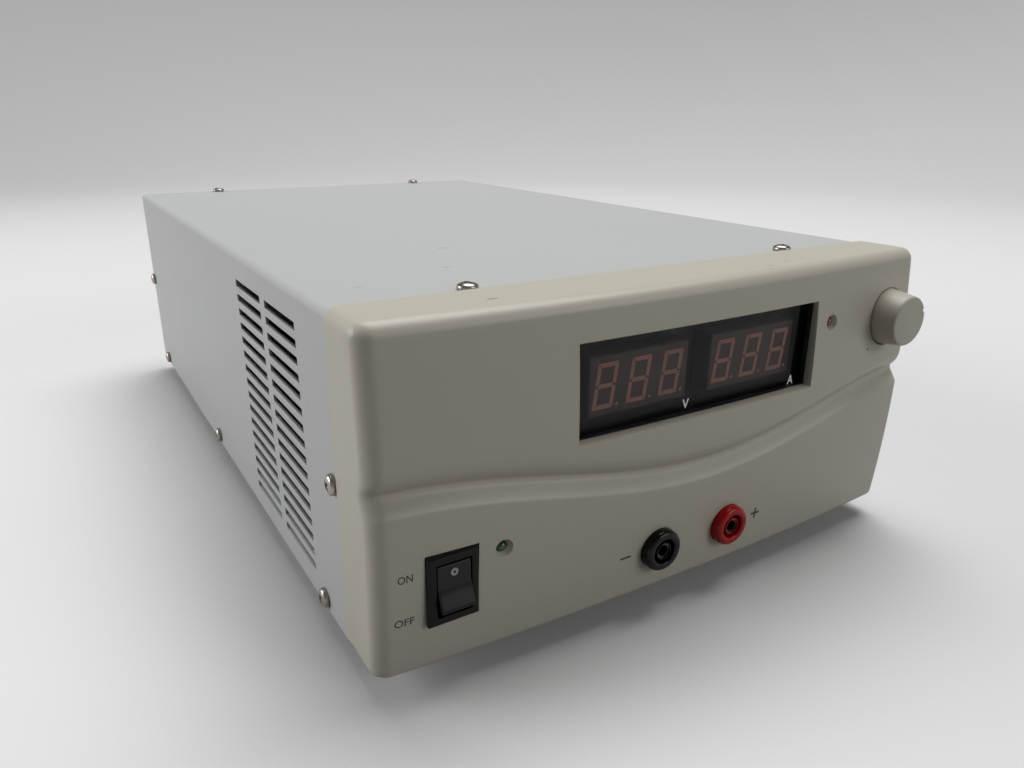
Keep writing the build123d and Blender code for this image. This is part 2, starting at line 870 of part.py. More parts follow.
with BuildPart() as pot_shaft:
    with BuildSketch(facing(knob_x, pot_seat + pot_shaft_inside, knob_middle)):
        Circle(shaft_radius)
    extrude(amount=pot_seat + pot_shaft_inside - (knob_base - knob_bore_depth + knob_gap))

with BuildPart() as pot_body:
    with BuildSketch(facing(knob_x, pot_seat, knob_middle)):
        Circle(pot_radius)
    extrude(amount=-pot_thickness)
    fillet(pot_body.edges().group_by(Axis.Y)[-1], 1)
    with BuildSketch(facing(knob_x, pot_seat, knob_middle)):
        Circle(bushing_radius)
    extrude(amount=bezel_wall + bushing_proud)
    with BuildSketch(facing(knob_x, pot_seat + pot_thickness / 2, knob_middle - pot_radius)):
        with GridLocations(pot_lug_pitch, 0, 3, 1):
            Rectangle(pot_lug_width, 2 * pot_lug_length)
    extrude(amount=board_thickness)
    with BuildSketch(facing(knob_x, pot_seat + pot_shaft_inside + fit_gap, knob_middle)):
        Circle(shaft_radius + shaft_gap)
    extrude(amount=bezel_depth, mode=Mode.SUBTRACT)

pot_nut = hexagon_nut(
    (knob_x, knob_seat, knob_middle),
    (0, -1, 0),
    pot_nut_flats,
    pot_nut_height,
    bushing_radius + thread_gap,
)


# Auxiliary output sockets: shrouded housings, metal sleeves and the nuts behind the bezel
def socket_housing(x):
    """A shrouded socket housing with its rounded flange standing in front of the bezel."""
    front = front_y(x, socket_middle) - socket_proud - socket_seat
    with BuildPart() as housing:
        with BuildSketch(Plane(origin=(x, socket_seat, socket_middle))):
            with BuildLine():
                Polyline(
                    (socket_body_radius, 0),
                    (socket_flange_radius, 0),
                    (socket_flange_radius, front),
                    (socket_shroud_radius, front),
                    (socket_shroud_radius, front + socket_shroud_depth),
                    (socket_core_radius, front + socket_shroud_depth),
                    (socket_core_radius, front + sleeve_setback / 2),
                    (sleeve_radius, front + sleeve_setback / 2),
                    (sleeve_radius, socket_body_length),
                    (socket_body_radius, socket_body_length),
                    close=True,
                )
            make_face()
        revolve(axis=Axis((x, socket_seat, socket_middle), (0, 1, 0)))
        outer = housing.edges().filter_by(GeomType.CIRCLE).group_by(Axis.Y)[0].sort_by(lambda e: e.radius)[-1]
        fillet(outer, socket_edge_radius)
    return housing.part


def socket_sleeve(x):
    """The metal sleeve that takes the plug, with its solder end behind the housing."""
    front = front_y(x, socket_middle) - socket_proud + sleeve_setback
    with BuildPart() as sleeve:
        with BuildSketch(facing(x, front + sleeve_length, socket_middle)):
            Circle(sleeve_radius)
        extrude(amount=sleeve_length)
        with BuildSketch(facing(x, front + sleeve_bore_depth, socket_middle)):
            Circle(sleeve_bore_radius)
        extrude(amount=sleeve_bore_depth, mode=Mode.SUBTRACT)
    return sleeve.part


aux_socket_negative = socket_housing(socket_negative_x)
aux_socket_positive = socket_housing(socket_positive_x)
socket_sleeves = [socket_sleeve(x) for x, _ in socket_places]
socket_nuts = [
    hexagon_nut(
        (x, socket_panel, socket_middle),
        (0, 1, 0),
        socket_nut_flats,
        socket_nut_height,
        socket_body_radius + thread_gap,
    )
    for x, _ in socket_places
]


# Places of the screws that hold the cover: where each head sits and which way it faces
cover_screw_y = [cover_front + front_screw_inset, cover_rear - rear_screw_inset]
top_screw_places = [(x * top_screw_x, y) for x in side_sign for y in cover_screw_y]
base_screw_y = [cover_front + y for y in (base_screw_front, base_screw_middle, base_screw_rear)]
side_screw_places = [(y, case_bottom + side_screw_height) for y in cover_screw_y] + [
    (y, case_bottom + base_screw_height) for y in base_screw_y
]

# Cover: a painted sheet bent over the top and both sides, with vent slots low in the sides
with BuildPart() as top_cover:
    with BuildSketch(facing(0, cover_rear, (case_top + case_bottom) / 2)) as cover_outline:
        Rectangle(case_width, case_height)
        fillet(cover_outline.vertices().group_by(Axis.Y)[-1], cover_bend)
    extrude(amount=cover_length)
    with BuildSketch(facing(0, cover_rear, (case_top + case_bottom) / 2 - cover_sheet)) as cover_inside:
        Rectangle(case_width - 2 * cover_sheet, case_height)
        fillet(cover_inside.vertices().group_by(Axis.Y)[-1], cover_bend - cover_sheet)
    extrude(amount=cover_length, mode=Mode.SUBTRACT)
    with BuildSketch(Plane.YZ.offset(-case_width / 2)):
        vents_y = cover_front + vent_first_y + vent_column_pitch * (vent_columns - 1) / 2
        vents_z = case_bottom + vent_first_z + vent_pitch * (vent_rows - 1) / 2
        with Locations((vents_y, vents_z)):
            with GridLocations(vent_column_pitch, vent_pitch, vent_columns, vent_rows):
                Rectangle(vent_length, vent_height)
    extrude(amount=case_width, mode=Mode.SUBTRACT)
    with BuildSketch(Plane.XY.offset(case_top - screw_length)):
        with Locations(*top_screw_places):
            Circle(screw_radius + screw_hole_gap)
    extrude(amount=2 * screw_length, mode=Mode.SUBTRACT)
    with BuildSketch(Plane.YZ.offset(-case_width / 2 - 1)):
        with Locations(*side_screw_places):
            Circle(screw_radius + screw_hole_gap)
    extrude(amount=case_width + 2, mode=Mode.SUBTRACT)

cover_top_screws = [pan_head_screw((x, y, case_top), (0, 0, 1), screw_length) for x, y in top_screw_places]
cover_side_screws = [
    pan_head_screw((side * case_width / 2, y, z), (side, 0, 0), screw_length)
    for side in side_sign
    for y, z in side_screw_places
]


# Places along the rear wall and under the base
fan_middle = case_bottom + fan_z
inlet_middle = case_bottom + inlet_z
post_middle = case_bottom + post_z
wall_inside = rear_wall - chassis_sheet
inlet_pin_places = [
    (-inlet_pin_pitch, -inlet_pin_rise),
    (0, inlet_pin_rise),
    (inlet_pin_pitch, -inlet_pin_rise),
]
post_places = [(post_positive_x, post_middle), (post_negative_x, post_middle)]
fan_hole_places = [
    (fan_x + x * fan_hole_pitch / 2, fan_middle + z * fan_hole_pitch / 2)
    for x in side_sign
    for z in side_sign
]
foot_places = [
    (x * (case_width / 2 - foot_inset_x), y)
    for x in side_sign
    for y in (cover_front + foot_inset_y, cover_rear - foot_inset_y)
]
board_bottom = base_top + standoff_height
board_top = board_bottom + board_thickness
standoff_places = [
    (x * standoff_x, face_y + y)
    for x in side_sign
    for y in (board_front + standoff_inset, (board_front + board_rear) / 2, board_rear - standoff_inset)
]


# Chassis: one steel sheet bent up into the base, the front and rear walls and the flanges for the screws
def inset(points, thickness):
    """The corners of a line bent at right angles, moved to the line's left by a thickness."""
    runs = [(Vector(*end) - Vector(*start)).normalized() for start, end in zip(points, points[1:])]
    lefts = [Vector(-run.Y, run.X) * thickness for run in runs]
    return [
        Vector(*point) + sum(lefts[max(place - 1, 0) : place + 1], Vector())
        for place, point in enumerate(points)
    ]


def bent_strip(plane, points, thickness, bend, width):
    """A strip of sheet bent along a line of outside corners, on the line's left side."""
    with BuildPart() as strip:
        with BuildSketch(plane):
            with BuildLine():
                outer = FilletPolyline(*points, radius=bend)
                inner = FilletPolyline(*inset(points, thickness), radius=bend - thickness)
                Line(outer @ 0, inner @ 0)
                Line(outer @ 1, inner @ 1)
            make_face()
        extrude(amount=width)
    return strip.part


long_strip = bent_strip(
    Plane.YZ.offset(-chassis_half + flange_relief),
    [
        (front_wall + flange_depth, chassis_top),
        (front_wall, chassis_top),
        (front_wall, case_bottom),
        (rear_wall, case_bottom),
        (rear_wall, chassis_top),
        (rear_wall - flange_depth, chassis_top),
    ],
    chassis_sheet,
    chassis_bend,
    2 * (chassis_half - flange_relief),
)
cross_strip = bent_strip(
    facing(0, rear_wall - flange_relief, 0),
    [
        (-chassis_half, base_top + base_flange_height),
        (-chassis_half, case_bottom),
        (chassis_half, case_bottom),
        (chassis_half, base_top + base_flange_height),
    ],
    chassis_sheet,
    chassis_bend,
    rear_wall - front_wall - 2 * flange_relief,
)
wall_flange_low = base_top + base_flange_height + flange_relief
front_strip = bent_strip(
    Plane.XY.offset(wall_flange_low),
    [
        (-chassis_half, front_wall + flange_depth),
        (-chassis_half, front_wall),
        (chassis_half, front_wall),
        (chassis_half, front_wall + flange_depth),
    ],
    chassis_sheet,
    chassis_bend,
    chassis_top - 2 * chassis_bend - wall_flange_low,
)
rear_strip = bent_strip(
    Plane.XY.offset(wall_flange_low),
    [
        (chassis_half, rear_wall - flange_depth),
        (chassis_half, rear_wall),
        (-chassis_half, rear_wall),
        (-chassis_half, rear_wall - flange_depth),
    ],
    chassis_sheet,
    chassis_bend,
    chassis_top - 2 * chassis_bend - wall_flange_low,
)

with BuildPart() as chassis:
    add(long_strip)
    add(cross_strip)
    add(front_strip)
    add(rear_strip)
    with BuildSketch(facing(0, front_wall + 2 * chassis_sheet, 0)):
        with Locations(*boss_places):
            Circle(bezel_screw_radius + fit_gap)
        with Locations((switch_x, switch_middle)):
            RectangleRounded(
                switch_body_width + 2 * cable_margin,
                switch_body_height + 2 * cable_margin,
                cable_margin,
            )
        with Locations(((socket_negative_x + socket_positive_x) / 2, socket_middle)):
            cable_width = socket_positive_x - socket_negative_x + 2 * socket_flange_radius
            RectangleRounded(cable_width, 2 * socket_flange_radius, cable_margin)
        with Locations(((volts_x + amps_x) / 2, module_middle)):
            RectangleRounded(2 * cable_socket_width, 2 * cable_socket_height, cable_margin)
    extrude(amount=3 * chassis_sheet, mode=Mode.SUBTRACT)
    with BuildSketch(facing(0, rear_wall + chassis_sheet, 0)):
        with Locations((fan_x, fan_middle)):
            Circle(fan_bore_radius)
        with Locations(*fan_hole_places):
            Circle(fan_hole_radius)
        with Locations((inlet_x, inlet_middle)):
            Rectangle(inlet_width, inlet_height)
        with Locations(*post_places):
            Circle(post_shoulder_radius + fit_gap)
    extrude(amount=3 * chassis_sheet, mode=Mode.SUBTRACT)
    with BuildSketch(Plane.XY.offset(case_bottom - chassis_sheet)):
        with Locations(*foot_places):
            Circle(screw_radius + screw_hole_gap)
        with Locations(*standoff_places):
            Circle(standoff_pin_radius + thread_gap)
    extrude(amount=3 * chassis_sheet, mode=Mode.SUBTRACT)
    with BuildSketch(Plane.XY.offset(case_top - screw_length)):
        with Locations(*top_screw_places):
            Circle(screw_radius + screw_hole_gap)
    extrude(amount=2 * screw_length, mode=Mode.SUBTRACT)
    with BuildSketch(Plane.YZ.offset(-case_width / 2 - 1)):
        with Locations(*side_screw_places):
            Circle(screw_radius + screw_hole_gap)
    extrude(amount=case_width + 2, mode=Mode.SUBTRACT)


# Rubber feet with their screws and nuts
def rubber_foot(x, y):
    """A foot that narrows towards the floor, with the well that its screw head lies in."""
    with BuildPart() as foot:
        with BuildSketch(Plane.XZ.offset(-y)):
            with Locations((x, 0)):
                Polygon(
                    (screw_radius + screw_hole_gap, foot_height),
                    (foot_radius, foot_height),
                    (foot_radius - foot_taper, foot_edge),
                    (foot_radius - foot_taper - foot_edge, 0),
                    (foot_bore_radius, 0),
                    (foot_bore_radius, foot_height - foot_floor),
                    (screw_radius + screw_hole_gap, foot_height - foot_floor),
                    align=None,
                )
        revolve(axis=Axis((x, y, 0), (0, 0, 1)))
    return foot.part


rubber_feet = [rubber_foot(x, y) for x, y in foot_places]
foot_screw_length = foot_floor + chassis_sheet + foot_nut_height + 1
feet_screws = [
    pan_head_screw((x, y, foot_height - foot_floor), (0, 0, -1), foot_screw_length) for x, y in foot_places
]
feet_nuts = [
    hexagon_nut((x, y, base_top), (0, 0, 1), foot_nut_flats, foot_nut_height, screw_radius + thread_gap)
    for x, y in foot_places
]


# Main board on its standoffs
with BuildPart() as main_board:
    with BuildSketch(Plane.XY.offset(board_bottom)):
        with Locations((0, face_y + (board_front + board_rear) / 2)):
            RectangleRounded(2 * board_half_width, board_rear - board_front, board_corner)
        with Locations(*standoff_places):
            Circle(board_screw_radius + fit_gap, mode=Mode.SUBTRACT)
    extrude(amount=board_thickness)

with BuildPart() as board_standoffs:
    with BuildSketch(Plane.XY.offset(base_top)):
        with Locations(*standoff_places):
            RegularPolygon(radius=standoff_radius, side_count=6, major_radius=False)
    extrude(amount=standoff_height)
    with BuildSketch(Plane.XY.offset(case_bottom)):
        with Locations(*standoff_places):
            Circle(standoff_pin_radius)
    extrude(amount=chassis_sheet)
    with BuildSketch(Plane.XY.offset(board_bottom)):
        with Locations(*standoff_places):
            Circle(board_screw_radius + thread_gap)
    extrude(amount=-standoff_height + chassis_sheet, mode=Mode.SUBTRACT)

board_screws = [
    pan_head_screw((x, y, board_top), (0, 0, 1), standoff_height, *board_screw)
    for x, y in standoff_places
]


# Heat sinks: extruded aluminium combs that stand on the board, with the power devices on their flat sides
def heat_sink(side, front, rear):
    """A comb with its flat back towards the middle of the case and its fins towards one side."""
    back = side * sink_back_x
    with BuildPart() as sink:
        with BuildSketch(facing(0, face_y + rear, board_top)):
            with Locations((back + side * sink_plate / 2, sink_height / 2)):
                Rectangle(sink_plate, sink_height)
            for row in range(sink_fins):
                z = sink_fin / 2 + row * (sink_height - sink_fin) / (sink_fins - 1)
                with Locations((back + side * sink_depth / 2, z)):
                    Rectangle(sink_depth, sink_fin)
        extrude(amount=rear - front)
    return sink.part


def power_device(side, y):
    """A flat transistor package against a heat sink, with three legs down to the board."""
    back = side * sink_back_x
    with BuildPart() as device:
        with BuildSketch(Plane.YZ.offset(back)):
            with Locations((face_y + y, board_top + device_lift + device_height / 2)):
                Rectangle(device_width, device_height)
        extrude(amount=-side * device_thickness)
        chamfer(device.faces().sort_by(Axis.X)[0 if side > 0 else -1].edges(), device_chamfer)
        with BuildSketch(Plane.XY.offset(board_top)):
            with Locations((back - side * device_thickness / 2, face_y + y)):
                with GridLocations(0, device_leg_pitch, 1, 3):
                    Rectangle(device_leg, 2 * device_leg)
        extrude(amount=device_lift + 1)
    return device.part


primary_heat_sink = heat_sink(-1, primary_sink_front, primary_sink_rear)
output_heat_sink = heat_sink(1, output_sink_front, output_sink_rear)
transistor_pitch = (primary_sink_rear - primary_sink_front) / transistors
rectifier_pitch = (output_sink_rear - output_sink_front) / rectifiers
power_transistors = [
    power_device(-1, primary_sink_front + (place + 0.5) * transistor_pitch)
    for place in range(transistors)
]
output_rectifiers = [
    power_device(1, output_sink_front + (place + 0.5) * rectifier_pitch)
    for place in range(rectifiers)
]

# Transformer: a ferrite core with its winding round the middle leg
with BuildPart() as transformer_core:
    core_rear = face_y + transformer_y + core_leg / 2
    with BuildSketch(facing(transformer_x, core_rear, board_top + core_height / 2)):
        Rectangle(core_width, core_height)
        with GridLocations(core_leg + core_window, 0, 2, 1):
            Rectangle(core_window, core_height - core_leg, mode=Mode.SUBTRACT)
    extrude(amount=core_leg)

with BuildPart() as transformer_winding:
    winding_span = core_leg + 2 * core_window - 2 * winding_gap
    with BuildSketch(Plane.XY.offset(board_top + core_leg / 2 + winding_gap)):
        with Locations((transformer_x, face_y + transformer_y)):
            RectangleRounded(winding_span, winding_span, core_window * 0.8)
            Rectangle(core_leg + 2 * winding_gap, core_leg + 2 * winding_gap, mode=Mode.SUBTRACT)
    extrude(amount=core_height - core_leg - 2 * winding_gap)


# Ring chokes: a ferrite ring, and windings round part of it
def ring(x, y, middle, half, height, turn, start):
    """A ring of rectangular section with rounded edges, standing on the board, over part of a turn."""
    with BuildPart() as body:
        with BuildSketch(Plane.XZ.offset(-face_y - y)):
            with Locations((x + middle, board_top + height / 2)):
                RectangleRounded(2 * half, height, half / 2)
        revolve(axis=Axis((x, face_y + y, 0), (0, 0, 1)), revolution_arc=turn)
    return body.part.rotate(Axis((x, face_y + y, 0), (0, 0, 1)), start)


def choke_core(x, y, middle, half, height):
    """The bare ring inside a choke's winding."""
    lift = choke_wire
    core = ring(x, y, middle, half - choke_wire, height - 2 * choke_wire, 360, 0)
    return core.moved(Location((0, 0, lift)))


def choke_winding(x, y, middle, half, height, turn, start):
    """A winding that lies round the ring over part of a turn."""
    with BuildPart() as winding:
        add(ring(x, y, middle, half, height, turn, start))
        add(choke_core(x, y, middle, half + winding_gap / 2, height), mode=Mode.SUBTRACT)
    return winding.part


output_choke_core = choke_core(*output_choke)
output_choke_winding = choke_winding(*output_choke, output_choke_turn, output_choke_start)
line_choke_core = choke_core(*line_choke)
line_choke_windings = [choke_winding(*line_choke, line_choke_turn, start) for start in line_choke_starts]


# Capacitors: drawn cans with a rolled bead near the foot
def can(x, y, radius, height):
    """A capacitor can standing on the board."""
    bead = radius * 0.08
    low = board_top
    with BuildPart() as body:
        with BuildSketch(Plane.XZ.offset(-face_y - y)):
            with Locations((x, low)):
                Polygon(
                    (0, 0),
                    (radius, 0),
                    (radius, bead * 2),
                    (radius - bead, bead * 3),
                    (radius, bead * 4),
                    (radius, height - bead),
                    (radius - bead, height),
                    (radius - 2 * bead, height - bead / 2),
                    (0, height - bead / 2),
                    align=None,
                )
        revolve(axis=Axis((x, face_y + y, 0), (0, 0, 1)))
    return body.part


bulk_capacitors = [
    can(bulk_inset - board_half_width + place * bulk_pitch, bulk_y, bulk_radius, bulk_height)
    for place in range(bulk_cans)
]
output_capacitors = [
    can(output_can_x, output_can_y + place * output_can_pitch, output_can_radius, output_can_height)
    for place in range(output_cans)
]

with BuildPart() as bridge_rectifier:
    with BuildSketch(facing(bridge_x, face_y + bridge_y, board_top + bridge_lift + bridge_height / 2)):
        Rectangle(bridge_width, bridge_height)
        with Locations((0, bridge_height / 4)):
            Circle(bridge_hole_radius, mode=Mode.SUBTRACT)
    extrude(amount=bridge_thickness / 2, both=True)
    with BuildSketch(Plane.XY.offset(board_top)):
        with Locations((bridge_x, face_y + bridge_y)):
            with GridLocations(bridge_leg_pitch, 0, 4, 1):
                Rectangle(2 * device_leg, device_leg)
    extrude(amount=bridge_lift + 1)


# Fan: frame with its motor boss and struts, rotor on its shaft, wire guard outside the wall, four screws
fan_rear = wall_inside
fan_front = wall_inside - fan_thickness

with BuildPart() as fan_frame:
    with BuildSketch(facing(fan_x, fan_rear, fan_middle)):
        Circle(fan_bore_radius + fan_wall)
    extrude(amount=fan_thickness)
    with BuildSketch(facing(fan_x, fan_rear, fan_middle)):
        RectangleRounded(fan_size, fan_size, fan_corner_radius)
    extrude(amount=fan_thickness, mode=Mode.INTERSECT)
    for y in (fan_rear, fan_front + fan_flange):
        with BuildSketch(facing(fan_x, y, fan_middle)):
            RectangleRounded(fan_size, fan_size, fan_corner_radius)
        extrude(amount=fan_flange)
    with BuildSketch(facing(fan_x, fan_rear, fan_middle)):
        Circle(fan_bore_radius)
    extrude(amount=fan_thickness, mode=Mode.SUBTRACT)
    with BuildSketch(facing(0, fan_rear, 0)):
        with Locations(*fan_hole_places):
            Circle(fan_screw_radius + thread_gap)
    extrude(amount=fan_thickness, mode=Mode.SUBTRACT)
    with BuildSketch(facing(fan_x, fan_rear, fan_middle)):
        Circle(fan_hub_radius)
        with PolarLocations((fan_bore_radius + fan_hub_radius) / 2, 4, start_angle=45):
            Rectangle(fan_bore_radius - fan_hub_radius + 1, fan_strut)
    extrude(amount=fan_boss_thickness)
    with BuildSketch(facing(fan_x, fan_rear, fan_middle)):
        Circle(fan_bearing_radius)
    extrude(amount=fan_bearing_length)
    with BuildSketch(facing(fan_x, fan_rear - fan_boss_thickness / 2, fan_middle)):
        Circle(fan_shaft_radius + shaft_gap)
    extrude(amount=fan_bearing_length, mode=Mode.SUBTRACT)

with BuildPart() as fan_blade:
    blade_middle = (fan_front + fan_rear - fan_boss_thickness) / 2
    for radius, pitch, chord in (
        (fan_hub_radius - 1, fan_root_pitch, fan_root_chord),
        (fan_bore_radius, fan_tip_pitch, fan_tip_chord),
    ):
        station = (fan_x, blade_middle, fan_middle + radius)
        with BuildSketch(Plane(origin=station, x_dir=(1, 0, 0), z_dir=(0, 0, 1))):
            Rectangle(chord, fan_blade_thickness, rotation=pitch)
    loft()
    with BuildSketch(facing(fan_x, fan_rear, fan_middle)):
        Circle(fan_bore_radius - fan_blade_tip_gap)
    extrude(amount=fan_thickness, mode=Mode.INTERSECT)

fan_axis = Axis((fan_x, 0, fan_middle), (0, 1, 0))
blades = [fan_blade.part.rotate(fan_axis, 360 * turn / fan_blades) for turn in range(fan_blades)]

with BuildPart() as fan_rotor:
    with BuildSketch(Plane(origin=(fan_x, fan_rear, fan_middle))):
        with BuildLine():
            hub_rear = -fan_boss_thickness - fan_running_gap
            hub_front = -fan_thickness + fan_running_gap
            well = hub_front + fan_hub_wall
            Polyline(
                (0, hub_front),
                (fan_hub_radius - 1, hub_front),
                (fan_hub_radius, hub_front + 1),
                (fan_hub_radius, hub_rear),
                (fan_hub_radius - fan_hub_wall, hub_rear),
                (fan_hub_radius - fan_hub_wall, well),
                (fan_shaft_radius, well),
                (fan_shaft_radius, -fan_boss_thickness / 2 - shaft_gap),
                (0, -fan_boss_thickness / 2 - shaft_gap),
                close=True,
            )
        make_face()
    revolve(axis=fan_axis)
    for blade in blades:
        add(blade)

with BuildPart() as fan_guard:
    guard_y = rear_wall + guard_wire * 1.5
    for turn in range(guard_rings):
        radius = guard_inner_radius + turn * (fan_bore_radius - guard_inner_radius) / (guard_rings - 1)
        with BuildSketch(Plane(origin=(fan_x, guard_y, fan_middle))):
            with Locations((radius, 0)):
                RegularPolygon(radius=guard_wire / 2, side_count=8)
        revolve(axis=fan_axis)
    with BuildSketch(facing(fan_x, guard_y, fan_middle)):
        guard_reach = fan_hole_pitch / sqrt(2) - screw_head_radius - fit_gap
        with PolarLocations((guard_inner_radius + guard_reach) / 2, 4, start_angle=45):
            Rectangle(guard_reach - guard_inner_radius, guard_wire * 0.9)
    extrude(amount=guard_wire)
    with BuildSketch(facing(0, rear_wall + guard_wire, 0)):
        with Locations(*fan_hole_places):
            Circle(guard_eye_radius)
            Circle(fan_screw_radius + fit_gap, mode=Mode.SUBTRACT)
    extrude(amount=guard_wire)

fan_screws = [
    pan_head_screw(
        (x, rear_wall + guard_wire, z),
        (0, 1, 0),
        guard_wire + chassis_sheet + fan_flange + 2,
        fan_screw_radius,
        screw_head_radius,
        screw_head_height,
    )
    for x, z in fan_hole_places
]

# Mains inlet with its pins below and the fuse drawer above
with BuildPart() as mains_inlet:
    with BuildSketch(facing(inlet_x, rear_wall, inlet_middle)):
        RectangleRounded(inlet_width + 2 * inlet_lip, inlet_height + 2 * inlet_lip, inlet_lip)
    extrude(amount=-inlet_lip_thickness)
    chamfer(mains_inlet.faces().sort_by(Axis.Y)[-1].edges(), inlet_edge)
    with BuildSketch(facing(inlet_x, rear_wall, inlet_middle)):
        Rectangle(inlet_width - 2 * fit_gap, inlet_height - 2 * fit_gap)
    extrude(amount=inlet_depth)
    socket_floor = rear_wall + inlet_lip_thickness - inlet_socket_depth
    with BuildSketch(facing(inlet_x, socket_floor, inlet_middle - inlet_socket_drop)) as inlet_mouth:
        Rectangle(inlet_socket_width, inlet_socket_height)
        chamfer(inlet_mouth.vertices().group_by(Axis.Y)[-1], inlet_socket_chamfer)
    extrude(amount=-inlet_socket_depth, mode=Mode.SUBTRACT)
    drawer_floor = rear_wall + inlet_lip_thickness - drawer_depth - drawer_gap
    with BuildSketch(facing(inlet_x, drawer_floor, inlet_middle + drawer_rise)):
        Rectangle(drawer_width + 2 * drawer_gap, drawer_height + 2 * drawer_gap)
    extrude(amount=-drawer_depth - drawer_gap, mode=Mode.SUBTRACT)
    with BuildSketch(facing(inlet_x, rear_wall - inlet_depth, inlet_middle - inlet_socket_drop)):
        with Locations(*inlet_pin_places):
            Rectangle(inlet_pin_width + fit_gap, inlet_pin_height + fit_gap)
    extrude(amount=-inlet_depth, mode=Mode.SUBTRACT)

with BuildPart() as inlet_pins:
    with BuildSketch(facing(inlet_x, rear_wall - inlet_depth - inlet_tail, inlet_middle - inlet_socket_drop)):
        with Locations(*inlet_pin_places):
            Rectangle(inlet_pin_width, inlet_pin_height)
    extrude(amount=-(inlet_tail + inlet_depth + inlet_lip_thickness - inlet_pin_setback))

with BuildPart() as fuse_drawer:
    with BuildSketch(facing(inlet_x, rear_wall + inlet_lip_thickness, inlet_middle + drawer_rise)):
        Rectangle(drawer_width, drawer_height)
    extrude(amount=drawer_depth)
    with BuildSketch(Plane.XY.offset(inlet_middle + drawer_rise + drawer_height / 2)):
        with Locations((inlet_x, rear_wall + inlet_lip_thickness - drawer_depth / 2 - 1)):
            Rectangle(drawer_width - 2 * drawer_wall, drawer_depth - 2 * drawer_wall)
    extrude(amount=-drawer_height + drawer_wall, mode=Mode.SUBTRACT)
    notch_middle = inlet_middle + drawer_rise - drawer_height / 2
    with BuildSketch(facing(inlet_x, rear_wall + inlet_lip_thickness, notch_middle)):
        RectangleRounded(drawer_notch, drawer_notch_height, drawer_notch_corner)
    extrude(amount=drawer_wall / 2, mode=Mode.SUBTRACT)


# Output posts: insulating base, stud, fluted cap, inner washer, nut and the copper bar to the board
def post_base(x):
    """The insulating collar outside the wall, with the shoulder that fills the hole in it."""
    with BuildPart() as base:
        with BuildSketch(facing(x, rear_wall, post_middle)):
            Circle(post_base_radius)
        extrude(amount=-post_base_height)
        chamfer(base.edges().group_by(Axis.Y)[-1], 1)
        with BuildSketch(facing(x, rear_wall, post_middle)):
            Circle(post_shoulder_radius)
        extrude(amount=chassis_sheet)
        with BuildSketch(facing(x, wall_inside, post_middle)):
            Circle(post_stud_radius + thread_gap)
        extrude(amount=-post_base_height - chassis_sheet, mode=Mode.SUBTRACT)
    return base.part


def post_cap(x):
    """The fluted cap that screws along the stud."""
    low = rear_wall + post_base_height + post_cap_gap
    high = rear_wall + post_reach
    with BuildPart() as cap:
        with BuildSketch(facing(x, low, post_middle)):
            Circle(post_cap_radius)
            with PolarLocations(post_cap_radius + post_flute_radius / 2, post_flutes):
                Circle(post_flute_radius, mode=Mode.SUBTRACT)
        extrude(amount=low - high)
        with BuildSketch(Plane(origin=(x, low, post_middle))):
            Polygon(
                (0, 0),
                (post_cap_radius - 1, 0),
                (post_cap_radius, 1),
                (post_cap_radius, high - low - post_cap_edge),
                (post_cap_radius - post_cap_edge, high - low),
                (0, high - low),
                align=None,
            )
        revolve(axis=Axis((x, low, post_middle), (0, 1, 0)), mode=Mode.INTERSECT)
        with BuildSketch(facing(x, low, post_middle)):
            Circle(post_stud_radius + thread_gap)
        extrude(amount=-(high - low - post_cap_end), mode=Mode.SUBTRACT)
    return cap.part


def post_stud(x):
    """The threaded stud, from inside the case to near the end of its cap."""
    with BuildPart() as stud:
        with BuildSketch(facing(x, rear_wall + post_reach - post_cap_end - 1, post_middle)):
            Circle(post_stud_radius)
        extrude(amount=post_reach - post_cap_end - 1 + post_stud_inside)
        chamfer(stud.edges(), post_stud_chamfer)
    return stud.part


def output_busbar(x):
    """The copper bar from a stud down to the main board."""
    back = wall_inside - post_washer_height
    corners = [
        (face_y + board_rear - busbar_run, board_top),
        (back, board_top),
        (back, post_middle + busbar_width / 2),
    ]
    side = Plane.YZ.offset(x - busbar_width / 2)
    strip = bent_strip(side, corners, busbar_thickness, busbar_bend, busbar_width)
    with BuildPart() as bar:
        add(strip)
        with BuildSketch(facing(x, back + 1, post_middle)):
            Circle(post_stud_radius + fit_gap)
        extrude(amount=busbar_thickness + 2, mode=Mode.SUBTRACT)
    return bar.part


post_base_positive = post_base(post_positive_x)
post_base_negative = post_base(post_negative_x)
post_cap_positive = post_cap(post_positive_x)
post_cap_negative = post_cap(post_negative_x)
post_studs = [post_stud(x) for x, _ in post_places]
output_busbars = [output_busbar(x) for x, _ in post_places]
with BuildPart() as post_washers:
    with BuildSketch(facing(0, wall_inside, 0)):
        with Locations(*post_places):
            Circle(post_washer_radius)
            Circle(post_stud_radius + fit_gap, mode=Mode.SUBTRACT)
    extrude(amount=post_washer_height)
post_nuts = [
    hexagon_nut(
        (x, wall_inside - post_washer_height - busbar_thickness, z),
        (0, -1, 0),
        post_nut_flats,
        post_nut_height,
        post_stud_radius + thread_gap,
    )
    for x, z in post_places
]


